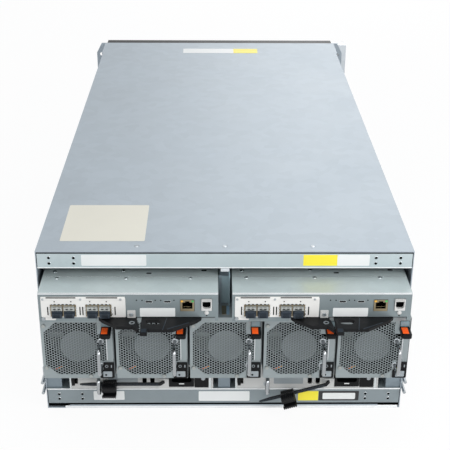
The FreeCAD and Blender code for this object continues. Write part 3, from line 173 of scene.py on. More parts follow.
def plated(name, colour, shine=0.14, metallic=1.0):
    """Polished or plated metal with faint handling marks."""
    finish = Finish(name, shine, metallic)
    marks = finish.noise(60.0, 4.0)
    fine = finish.noise(700.0, 2.0)
    finish.paint(finish.blend(marks, linear([step * 0.95 for step in colour]), linear(colour)))
    finish.gloss(marks * 0.12 + fine * 0.05 + (shine - 0.06))
    return finish.relief(fine, 0.00003, 0.12).material


def sticker(name, colour, shine=0.38):
    """Printed film: an even colour with a slight paper tooth and a soft curl in its gloss."""
    finish = Finish(name, shine)
    tooth, slow = finish.noise(1600.0, 2.0), finish.noise(22.0, 2.0)
    finish.paint(finish.blend(slow, linear([step * 0.97 for step in colour]), linear(colour)))
    finish.gloss(tooth * 0.08 + slow * 0.12 + (shine - 0.08))
    return finish.relief(tooth, 0.00002, 0.2).material


GALVANISED = sheet_metal("galvanised_sheet", (160, 170, 178), 0.46, 0.35, 0.05)
FACE_SHEET = sheet_metal("zinc_face_sheet", (146, 155, 157), 0.46, 0.4, 0.03, (1, 1, 6))
CANISTER_SHEET = sheet_metal("canister_sheet", (127, 138, 141), 0.44, 0.4, 0.04, (6, 1, 1))
# a lighter copy of the canister sheet for its top: painted light on the lit top
LIT_TOP_SHEET = sheet_metal("canister_top_painted_light", (188, 199, 199), 0.4, 0.35, 0.05)
# the two rear beams are one sheet in two copies: the upper one lighter as painted light, the lower one darker
# as painted shade
LIT_BEAM_SHEET = sheet_metal("upper_beam_sheet_painted_light", (186, 198, 201), 0.42, 0.4, 0.03, (1, 1, 8))
SHADED_BEAM_SHEET = sheet_metal("lower_beam_sheet_painted_shade", (134, 144, 148), 0.44, 0.4, 0.03, (1, 1, 8))
INNER_SHEET = sheet_metal("inner_sheet", (128, 140, 148), 0.5, 0.4, 0.05)
CREAM = painted("cream_nickel_sheet", (196, 196, 194), 0.36, 1200.0, 0.04)
BRIGHT = plated("bright_strip", (214, 220, 222), 0.2)
CHROME = plated("chrome_wire", (168, 172, 175), 0.1)
ZINC = plated("zinc_screw", (176, 182, 186), 0.28)
GOLD = plated("gold_cage", (150, 138, 116), 0.34)
BLACK = painted("black_plastic", (16, 17, 19), 0.4, 1000.0, 0.12, sheen=0.15)
SLATE = painted("slate_plug", (44, 53, 62), 0.4, 1100.0, 0.1, sheen=0.25)
GREY = painted("grey_plastic", (104, 116, 122), 0.45, 1000.0, 0.06)
TEAL = painted("teal_grey_paint", (128, 150, 157), 0.4, 900.0, 0.05)
PALE = painted("pale_plastic", (214, 219, 222), 0.3, 700.0, 0.03)
# near-black and dull: the black of the fan rotors, fan frames and a motor lead, and painted shade in slots,
# holes, gaps, grooves and openings
BLACK_AND_SHADE = painted("black_and_painted_shade", (6, 7, 8), 0.85, 500.0, 0.2, sheen=0.0)
HUB_GREY = painted("hub_label_grey", (124, 130, 132), 0.5, 500.0, 0.1, sheen=0.2)
PORT_WHITE = painted("port_plate_white", (222, 221, 217), 0.36, 1200.0, 0.03)
DRIVE = painted("drive_casting", (72, 78, 82), 0.5, 800.0, 0.08)
BOARD = painted("circuit_board", (36, 74, 52), 0.35, 600.0, 0.1)
ORANGE = painted("orange_touch_point", (250, 100, 20), 0.5, 900.0, 0.04)
WHITE_FILM = sticker("white_sticker", (232, 234, 233))
CREAM_FILM = sticker("cream_sticker", (222, 219, 205))
YELLOW_FILM = sticker("yellow_sticker", (248, 232, 60))
BLACK_FILM = sticker("black_sticker", (34, 36, 38))
GREY_FILM = sticker("grey_sticker", (150, 158, 162))
LAMP_GREEN = painted("green_lamp", (62, 170, 92), 0.25, 500.0, 0.03)
LAMP_AMBER = painted("amber_lamp", (222, 168, 60), 0.25, 500.0, 0.03)
# a near-white finish for painted highlights along folds and edges
FOLD_HIGHLIGHT = painted("painted_fold_highlight", (246, 249, 249), 0.3)
NICKEL = plated("nickel_frame", (176, 180, 178), 0.32, 0.8)
BRONZE = plated("bronze_rim", (150, 138, 112), 0.34, 0.8)
RED_DYE = painted("red_mark", (196, 44, 34), 0.35, 500.0, 0.03)
NYLON = painted("nylon_strap", (20, 21, 23), 0.36, 1500.0, 0.1, sheen=0.2)
BLUE_GREY = painted("blue_grey_plastic", (120, 150, 172), 0.35, 900.0, 0.05)
PIN_METAL = plated("contact_metal", (206, 190, 150), 0.25)


WINGS = ("left", "right")
FLOORS = ("lower", "upper")
FANS = range(1, 6)
# the finish of each node, by the start and the end of its name
FAMILIES = (
    (("",), {
        "chassis_tray": GALVANISED, "top_cover": GALVANISED, "rack_ears": GALVANISED,
        "inner_frame": INNER_SHEET, "upper_rear_beam": LIT_BEAM_SHEET, "lower_rear_beam": SHADED_BEAM_SHEET,
        "cover_screws": ZINC, "rail_brackets": ZINC, "midplane_board": BOARD, "operator_panel": PALE}),
    ([f"{floor}_drawer_" for floor in FLOORS], {
        "tray": INNER_SHEET, "slides": ZINC, "bezel": BLACK, "latch_left": ORANGE, "latch_right": ORANGE,
        "drives": DRIVE}),
    ([f"io_{wing}_" for wing in WINGS], {
        "case": CANISTER_SHEET, "ports": GOLD, "short_lever": BLACK, "long_lever": BLACK}),
    ([f"fan_{number}_" for number in FANS], {
        "case": FACE_SHEET, "rotor": BLACK_AND_SHADE, "handle": CHROME, "latch": BLACK}),
    ([f"power_{wing}_" for wing in WINGS], {
        "case": CREAM, "handle": CHROME, "latch": BLACK, "strap": NYLON, "clamp": NYLON}))
for prefixes, finishes in FAMILIES:
    for prefix in prefixes:
        for name, finish in finishes.items():
            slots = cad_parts[prefix + name].data.materials
            slots.clear()
            slots.append(finish)


# ---- ways to make a piece

class Panel:
    """A plane that flat work is laid out on, in millimetres: along, then down (or away, when down is -1)."""

    def __init__(self, origin, along, up, down=1):
        along, up = Vector(along), Vector(up)
        self.down = down
        turn = Matrix((along, up, along.cross(up))).transposed().to_4x4()
        self.matrix = Matrix.Translation(origin) @ turn @ Matrix.Scale(MM, 4)

    def local(self, along, down, out=0.0):
        return Vector((along, -down * self.down, out))


def oblong(left, right, top, bottom, radius=0.0, steps=4):
    """The outline of a rectangle whose corners are turned to a radius."""
    if not radius:
        return [(left, top), (right, top), (right, bottom), (left, bottom)]
    radius = min(radius, (right - left) / 2 - 1e-4, (bottom - top) / 2 - 1e-4)
    points = []
    for x, y, start in ((right - radius, top + radius, -90), (right - radius, bottom - radius, 0),
                        (left + radius, bottom - radius, 90), (left + radius, top + radius, 180)):
        for step in range(steps + 1):
            angle = radians(start + 90 * step / steps)
            points.append((x + radius * cos(angle), y + radius * sin(angle)))
    return points


def ring_of(x, y, radius, steps=20):
    """Points round a whole circle."""
    return [(x + radius * cos(tau * step / steps),
             y + radius * sin(tau * step / steps)) for step in range(steps)]


def arc(cx, cy, radius, start, end, steps=6):
    """Points along an arc between two angles in degrees."""
    angles = [radians(start + (end - start) * step / steps) for step in range(steps + 1)]
    return [(cx + radius * cos(angle), cy + radius * sin(angle)) for angle in angles]


def placed(name, data):
    made = bpy.data.objects.new(name, data)
    bpy.context.scene.collection.objects.link(made)
    return made


def ride(name, mesh, body, material):
    """Puts a finished mesh on a body, in one finish and that finish's slot."""
    piece = placed(name, mesh)
    mesh.materials.clear()
    mesh.materials.append(material)
    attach(piece, body)
    return piece


def ease(piece, width, angle):
    """Rounds the edges sharper than an angle, by a width in millimetres."""
    bevel = piece.modifiers.new("soft_edges", "BEVEL")
    bevel.width, bevel.segments = width * MM, 2
    bevel.limit_method, bevel.angle_limit = "ANGLE", radians(angle)


class Work:
    """One piece in the making: plates, turned shapes and wires of one finish that ride on one body."""

    def __init__(self, name, material, body, panel, soften=0.15):
        self.name, self.material, self.body, self.panel, self.soften = name, material, body, panel, soften
        self.mesh = bmesh.new()

    def plate(self, outline, low, high, holes=()):
        """A flat plate between two levels, with holes right through it."""
        loops = [list(outline)] + [list(hole) for hole in holes]
        flat = [self.panel.local(x, y) for loop in loops for x, y in loop]
        rims, start = [], 0
        for loop in loops:
            rims.append(range(start, start + len(loop)))
            start += len(loop)
        lower = [self.mesh.verts.new((p.x, p.y, low)) for p in flat]
        upper = [self.mesh.verts.new((p.x, p.y, high)) for p in flat]
        if len(loops) == 1:
            faces = [list(range(len(flat)))]
        else:
            faces = tessellate_polygon([[flat[i] for i in rim] for rim in rims])
        made = []
        for corners in faces:
            made.append(self.mesh.faces.new([upper[i] for i in corners]))
            made.append(self.mesh.faces.new([lower[i] for i in reversed(corners)]))
        for rim in rims:
            for first, second in zip(rim, list(rim[1:]) + [rim[0]]):
                made.append(self.mesh.faces.new((lower[first], lower[second], upper[second], upper[first])))
        bmesh.ops.recalc_face_normals(self.mesh, faces=made)
        return self

    def box(self, left, right, top, bottom, low, high, radius=0.0):
        return self.plate(oblong(left, right, top, bottom, radius), low, high)

    def turned(self, x, y, profile, steps):
        """A turned shape standing on the panel: its profile is pairs of radius and level."""
        centre = self.panel.local(x, y)
        rings = [[self.mesh.verts.new((*spot, level)) for spot in ring_of(centre.x, centre.y, radius, steps)]
                 for radius, level in profile]
        return self.skin(rings, rings[-1], list(reversed(rings[0])))

    def skin(self, rings, *caps):
        """Joins rings of corners into a closed solid."""
        made = [self.mesh.faces.new(cap) for cap in caps]
        for lower, upper in zip(rings, rings[1:]):
            for step, corner in enumerate(lower):
                after = (step + 1) % len(lower)
                made.append(self.mesh.faces.new((corner, lower[after], upper[after], upper[step])))
        bmesh.ops.recalc_face_normals(self.mesh, faces=made)
        return self

    def swept(self, section, left, right):
        """A bar along the panel whose section is pairs of down and level."""
        ends = [[self.mesh.verts.new(self.panel.local(x, y, level)) for y, level in section]
                for x in (left, right)]
        made = [self.mesh.faces.new(ends[0]), self.mesh.faces.new(list(reversed(ends[1])))]
        for first in range(len(section)):
            after = (first + 1) % len(section)
            made.append(self.mesh.faces.new((ends[0][first], ends[1][first], ends[1][after], ends[0][after])))
        bmesh.ops.recalc_face_normals(self.mesh, faces=made)
        return self

    def wire(self, points, radius, sides=8):
        """A round wire through points given as along, down and level."""
        places = [self.panel.local(*point) for point in points]
        rings = []
        for index, place in enumerate(places):
            before, after = places[max(index - 1, 0)], places[min(index + 1, len(places) - 1)]
            way = (after - before).normalized()
            side = way.orthogonal().normalized() if not rings else (side - way * side.dot(way)).normalized()
            other = way.cross(side)
            rings.append([self.mesh.verts.new(place + radius * (side * cos(tau * step / sides)
                                                                + other * sin(tau * step / sides)))
                          for step in range(sides)])
        return self.skin(rings, rings[0], list(reversed(rings[-1])))

    def done(self, *stands_for, smooth=False):
        mesh = bpy.data.meshes.new(self.name)
        self.mesh.to_mesh(mesh)
        self.mesh.free()
        mesh.transform(self.panel.matrix)
        for face in mesh.polygons:
            face.use_smooth = smooth
        piece = ride(self.name, mesh, self.body, self.material)
        if self.soften:
            ease(piece, self.soften, 50)
        if stands_for:
            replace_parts(piece, *stands_for)
        return piece


class Pattern:
    """A geometry node tree that sets one small shape on every point of a piece, with named sizes."""

    def __init__(self, name, **sizes):
        self.tree = bpy.data.node_groups.new(name, "GeometryNodeTree")
        self.tree.is_modifier = True
        self.tree.interface.new_socket("Points", in_out="INPUT", socket_type="NodeSocketGeometry")
        self.inputs = {}
        for size, value in sizes.items():
            kind = "NodeSocketVector" if isinstance(value, tuple) else (
                "NodeSocketInt" if isinstance(value, int) else "NodeSocketFloat")
            socket = self.tree.interface.new_socket(size, in_out="INPUT", socket_type=kind)
            socket.default_value = value
            self.inputs[size] = socket.identifier
        finish = self.tree.interface.new_socket("Finish", in_out="INPUT", socket_type="NodeSocketMaterial")
        self.inputs["Finish"] = finish.identifier
        self.tree.interface.new_socket("Pieces", in_out="OUTPUT", socket_type="NodeSocketGeometry")
        self.given = self.tree.nodes.new("NodeGroupInput").outputs
        self.result = self.tree.nodes.new("NodeGroupOutput").inputs[0]

    def add(self, kind, inputs=None, output=0, **settings):
        made = self.tree.nodes.new(kind if kind.startswith("ShaderNode") else "GeometryNode" + kind)
        for setting, value in settings.items():
            setattr(made, setting, value)
        for socket, value in (inputs or {}).items():
            if isinstance(value, bpy.types.NodeSocket):
                self.tree.links.new(value, made.inputs[socket])
            else:
                made.inputs[socket].default_value = value
        return made.outputs[output]

    def times(self, size, factor):
        return self.add("ShaderNodeMath", {0: size, 1: factor}, operation="MULTIPLY")

    def vector(self, x, y, z):
        return self.add("ShaderNodeCombineXYZ", {0: x, 1: y, 2: z})

    def close(self, shape):
        spread = self.add("InstanceOnPoints", {"Points": self.given["Points"], "Instance": shape})
        real = self.add("RealizeInstances", {"Geometry": spread})
        finished = self.add("SetMaterial", {"Geometry": real, "Material": self.given["Finish"]})
        self.tree.links.new(finished, self.result)
        return self

    def spread(self, name, points, material, body, panel, smooth=False, **sizes):
        """Sets the shape on the points and keeps the result as a plain piece."""
        seeds = bpy.data.meshes.new(name + "_seeds")
        seeds.from_pydata([panel.local(*point) for point in points], [], [])
        holder = placed(name + "_seeds", seeds)
        modifier = holder.modifiers.new("pattern", "NODES")
        modifier.node_group = self.tree
        modifier[self.inputs["Finish"]] = material
        for size, value in sizes.items():
            modifier[self.inputs[size]] = value
        mesh = bpy.data.meshes.new_from_object(holder.evaluated_get(bpy.context.evaluated_depsgraph_get()))
        bpy.data.objects.remove(holder)
        mesh.name = name
        mesh.transform(panel.matrix)
        for face in mesh.polygons:
            face.use_smooth = smooth
        return ride(name, mesh, body, material)


def cone(pattern, sides, taper):
    radius = pattern.given["Radius"]
    return pattern.add("MeshCone", {"Vertices": sides, "Radius Top": pattern.times(radius, taper),
                                    "Radius Bottom": radius, "Depth": pattern.given["Height"]})


def screw_pattern():
    """A pan head with a cross recess."""
    pattern = Pattern("screw_heads", Radius=3.0, Height=1.2)
    radius, height = pattern.given["Radius"], pattern.given["Height"]
    flank = cone(pattern, 20, 0.78)
    arm, thin = pattern.times(radius, 1.05), pattern.times(radius, 0.3)
    bars = [pattern.add("MeshCube", {"Size": pattern.vector(x, y, height)})
            for x, y in ((arm, thin), (thin, arm))]
    cross = pattern.add("MeshBoolean", {"Mesh 2": bars[0]}, operation="UNION", solver="EXACT")
    pattern.tree.links.new(bars[1], cross.node.inputs["Mesh 2"])
    lifted = pattern.add("Transform", {"Geometry": cross, "Translation": pattern.vector(
        0.0, 0.0, pattern.times(height, 1.05))})
    return pattern.close(pattern.add("MeshBoolean", {"Mesh 1": flank, "Mesh 2": lifted},
                                     operation="DIFFERENCE", solver="EXACT"))


def rivet_pattern():
    """A blind rivet: a low dome."""
    pattern = Pattern("rivet_heads", Radius=1.8, Height=0.8)
    ball = pattern.add("MeshUVSphere", {"Segments": 14, "Rings": 8, "Radius": 1.0})
    radius = pattern.given["Radius"]
    dome = pattern.add("Transform", {"Geometry": ball, "Scale": pattern.vector(
        radius, radius, pattern.given["Height"])})
    return pattern.close(dome)


def lamp_pattern():
    """A round lens, proud of its hole."""
    pattern = Pattern("lamp_lenses", Radius=1.0, Height=0.5)
    return pattern.close(cone(pattern, 12, 0.7))



def net_pattern():
    """One cell of a perforated sheet: a six-sided web round a hole."""
    pattern = Pattern("perforated_cells", Cell=2.2, Web=0.35, Thickness=0.8)
    cell, web, thickness = (pattern.given[size] for size in ("Cell", "Web", "Thickness"))
    radius = pattern.add("ShaderNodeMath", {0: cell, 1: pattern.times(web, 0.55)}, operation="SUBTRACT")
    circle = pattern.add("CurvePrimitiveCircle", {"Resolution": 6, "Radius": radius})
    bar = pattern.add("CurvePrimitiveQuadrilateral", {"Width": web, "Height": thickness})
    return pattern.close(pattern.add("CurveToMesh", {"Curve": circle, "Profile Curve": bar}))


def bar_pattern():
    """A small block: a rib, a contact, or painted shade on a slot's floor."""
    pattern = Pattern("small_blocks", Size=(1.0, 1.0, 1.0))
    return pattern.close(pattern.add("MeshCube", {"Size": pattern.given["Size"]}))


SCREWS, RIVETS, LAMPS, NET, BARS = (
    screw_pattern(), rivet_pattern(), lamp_pattern(), net_pattern(), bar_pattern())

low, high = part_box("chassis_tray")
rear_y, front_y = low[1], high[1]
cover_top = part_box("top_cover")[1][2]
ROOT = "chassis_tray"
FILM = (0.02, 0.14)  # lower and upper level of a label on its sheet


def upright(shift=0.0, out=0.0):
    """The plane of the rear face, moved along by a shift and out by a level."""
    return Panel((shift * MM, rear_y - out * MM, cover_top), (1, 0, 0), (0, 0, 1))


def lying(height, shift=0.0):
    """A level plane at a height in metres, laid out from the rear face."""
    return Panel((shift * MM, rear_y, height), (1, 0, 0), (0, 1, 0), down=-1)


class Kit:
    """A set of pieces that share the start of their names, their body and their panel."""

    def __init__(self, prefix, body, panel):
        self.prefix, self.body, self.panel = prefix, body, panel

    def work(self, name, material, soften=0.15):
        return Work(self.prefix + name, material, self.body, self.panel, soften)

    def spread(self, pattern, name, points, material, smooth=False, **sizes):
        return pattern.spread(self.prefix + name, points, material, self.body, self.panel, smooth, **sizes)


def extent(node):
    """A node's limits on the rear panel: left, right, top, bottom, lowest and highest level."""
    low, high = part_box(node)
    return (low[0] / MM, high[0] / MM, (cover_top - high[2]) / MM, (cover_top - low[2]) / MM,
            (rear_y - high[1]) / MM, (rear_y - low[1]) / MM)


def softened(node, material, width=0.3, body=None):
    """A copy of a node with its hard edges eased, which stands for it."""
    shape = bmesh.new()
    shape.from_mesh(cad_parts[node].data)
    bmesh.ops.remove_doubles(shape, verts=shape.verts, dist=0.00001)
    bmesh.ops.dissolve_limit(shape, angle_limit=radians(2), verts=shape.verts, edges=shape.edges)
    mesh = bpy.data.meshes.new(node + "_eased")
    shape.to_mesh(mesh)
    shape.free()
    for face in mesh.polygons:
        face.use_smooth = False
    piece = ride(node + "_eased", mesh, body or node, material)
    ease(piece, width, 35)
    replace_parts(piece, node)


CANISTER_STEP = extent("io_right_case")[0] - extent("io_left_case")[0]
FAN_STEP = extent("fan_2_case")[0] - extent("fan_1_case")[0]
POWER_STEP = extent("power_right_case")[0] - extent("power_left_case")[0]


# ---- chassis

def chassis_fittings():
    rear, top = Kit("", ROOT, upright()), Kit("", ROOT, lying(cover_top))
    left, right = extent("cover_screws")[:2]
    head = 2.9  # radius of a cover screw, whose middle stands 14 mm from the edge
    spots = [(x, 14, -0.5) for x in (left + head, (left + right) / 2, right - head)]
    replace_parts(top.spread(SCREWS, "cover_screw_heads", spots, ZINC, Radius=2.8, Height=0.9), "cover_screws")
    top.work("cover_label", CREAM_FILM, 0).box(-197, -95.6, 27, 129, *FILM, 2.0).done()
    top.work("cover_front_label", WHITE_FILM, 0).box(-70, 26, 822, 851, *FILM, 1.0).done()
    top.work("cover_front_label_end", YELLOW_FILM, 0).box(26, 72, 822, 851, *FILM, 1.0).done()
    for beam, downs in (("upper", (8.3, 15.5)), ("lower", (200.9, 207.9))):
        points = [(side * x, down) for side in (-1, 1) for x in (206.5, 177.5) for down in downs]
        rear.spread(RIVETS, f"{beam}_beam_rivets", [(*point, 0.05) for point in points], BRIGHT, True,
                    Radius=2.1, Height=0.7)
        # the dark middles of the rivets are painted shade in their hollows
        rear.spread(LAMPS, f"{beam}_beam_rivet_pins", [(x, down - 0.15, 0.65) for x, down in points], BLACK_AND_SHADE,
                    Radius=1.7, Height=0.4)
    # painted shade in the gaps between the cover, the beams and the tray: dark strips laid into the joints
    seam = rear.work("cover_gap_shade", BLACK_AND_SHADE, 0)
    seam.box(-220.9, 220.9, 1.25, 2.9, -0.3, 0.05).box(-220.6, 220.6, 214.7, 218.6, -1.2, -0.2)
    for side in (-1, 1):
        for high_end, low_end in ((1.5, 22.1), (192.7, 214.7)):
            seam.box(*sorted((side * 220.4, side * 221.2)), high_end, low_end, -0.3, 0.05)
    seam.done()
    white = rear.work("white_beam_labels", WHITE_FILM, 0)
    for edges in ((-168.7, -92.3, 4.4, 18.8), (132, 170, 4.4, 18.8), (-163.6, -125, 196.8, 210.0),
                  (-32, 32, 197.2, 211.8)):
        white.box(*edges, *FILM, 1.2)
    white.box(124, 165, 200.0, 209.4, 0.02, 0.2, 1.2).done()
    yellow = rear.work("yellow_beam_labels", YELLOW_FILM, 0)
    yellow.box(92, 132, 4.4, 18.8, *FILM, 0.8).box(93, 118.5, 197.2, 211.4, *FILM, 0.8).done()
    rear.work("black_beam_label", BLACK_FILM, 0).box(119, 169.5, 197.2, 211.4, *FILM, 0.8).done()
    # the folded lips along the sheets' edges, in a near-white finish that is a painted highlight
    lip = rear.work("tray_lower_lip", FOLD_HIGHLIGHT, 0.2)
    lip.swept([(218.7, -0.6), (219.4, 0.2), (222.1, 0.2), (222.1, -0.8)], -200.0, 219.5).done()
    fold = rear.work("upper_beam_fold_highlight", FOLD_HIGHLIGHT)
    fold.swept([(20.9, 0.0), (21.3, 0.25), (22.0, 0.15), (22.1, -1.0), (21.2, -1.0)], -220.8, 220.8).done()
    fold = rear.work("lower_beam_fold_highlight", FOLD_HIGHLIGHT, 0.3)
    fold.swept([(192.7, -2.0), (194.2, -2.0), (194.2, 0.6), (193.2, 0.9), (192.7, 0.3)], -220.8, 220.8).done()
    # the guide between the canisters, and the two marks on the fan below it
    rail = rear.work("centre_guide_face", TEAL, 0.2)
    rail.box(-3.9, 6.3, 33.4, 69.8, -1.9, -1.0, 0.6).box(-7.6, -4.6, 33.4, 58, -3.4, -2.8, 0.4)
    rail.box(4.4, 5.8, 26.6, 69.8, -1.2, 6.0, 0.4).done()
    rear.work("centre_guide_cap", PALE, 0.3).box(-5.2, 5.2, 22.6, 26.4, -6.0, 0.8, 0.8).done()
    on_fan = Kit("", "fan_3_case", lying(cover_top))
    for name, finish, left, right in (("gold", GOLD, -3.8, 1.6), ("blue", BLUE_GREY, 2.2, 5.2)):
        on_fan.work(f"{name}_touch_mark", finish, 0.1).box(left, right, -23.0, -3.0, -71.69, -71.3, 0.5).done()


def rack_ear_fittings():
    """Rims round the holes of the ears, and the lamps and window of the front cap."""
    front = Kit("", ROOT, Panel((0, front_y, cover_top), (-1, 0, 0), (0, 0, 1)))
    rims = front.work("ear_hole_rims", ZINC, 0.1)
    for x in (-232.55, 232.55):
        for down in (22.25, 200.05):
            rims.plate(ring_of(x, down, 4.6), -0.1, 0.35, [ring_of(x, down, 3.5)])
    rims.done()
    softened("operator_panel", PALE, 0.8, ROOT)
    lamps = [(-236, 90 + 14 * step, 26.1) for step in range(4)]
    front.spread(LAMPS, "front_status_lamps", lamps[:2], LAMP_GREEN, Radius=1.6, Height=0.9)
    front.spread(LAMPS, "front_fault_lamps", lamps[2:], LAMP_AMBER, Radius=1.6, Height=0.9)
    front.work("front_display_window", BLACK_FILM).box(-241, -231, 60, 80, 25.9, 26.3, 1.5).done()


# ---- drawers

def drawer_fittings(floor):
    """The eased bezel and latches, and what shows on the top of each drive."""
    body = f"{floor}_drawer_tray"
    softened(f"{floor}_drawer_bezel", BLACK, 0.5, body)
    for wing in WINGS:
        softened(f"{floor}_drawer_latch_{wing}", ORANGE, 0.4)
    left, right, top, _, near, far = extent(f"{floor}_drawer_drives")
    columns, rows = 14, 3
    wide, long = (right - left) / columns, (far - near) / rows
    seats = [(left + wide * (column + 0.5), -far + long * (row + 0.5)) for column in range(columns)
             for row in range(rows)]
    tops = Kit(f"{floor}_drive_", body, lying(cover_top - top * MM))
    for name, finish, along, level, size in (
            ("labels", WHITE_FILM, -18, 0.1, (wide * 0.62, 62, 0.2)),
            ("carriers", GREY, 30, 0.3, (wide * 0.7, 22, 0.6)),
            ("catches", ORANGE, 58, 0.5, (wide * 0.5, 9, 1.0)),
            ("ends", BLACK_AND_SHADE, -62, 0.25, (wide * 0.55, 10, 0.5))):
        tops.spread(BARS, name, [(x, y + along, level) for x, y in seats], finish, Size=size)


# ---- canisters

# along and out from the rear face
TOP_RIVETS = {"left": ((-202.4, -12.0), (-197.8, 4.8), (-121.2, -14.4), (-116.7, 5.5), (-40.8, 4.6)),
              "right": ((25.3, 3.4), (106.0, 3.4), (183.3, 3.5), (20.2, -13.9), (101.9, -15.6))}
TOP_SLOTS = {"left": ((-90.3, -7.5), (-24.9, -14.4)), "right": ((132.8, -8.6), (198.2, -15.6))}
CAGES = ((-201.95, -171.95), (-161.15, -131.15))


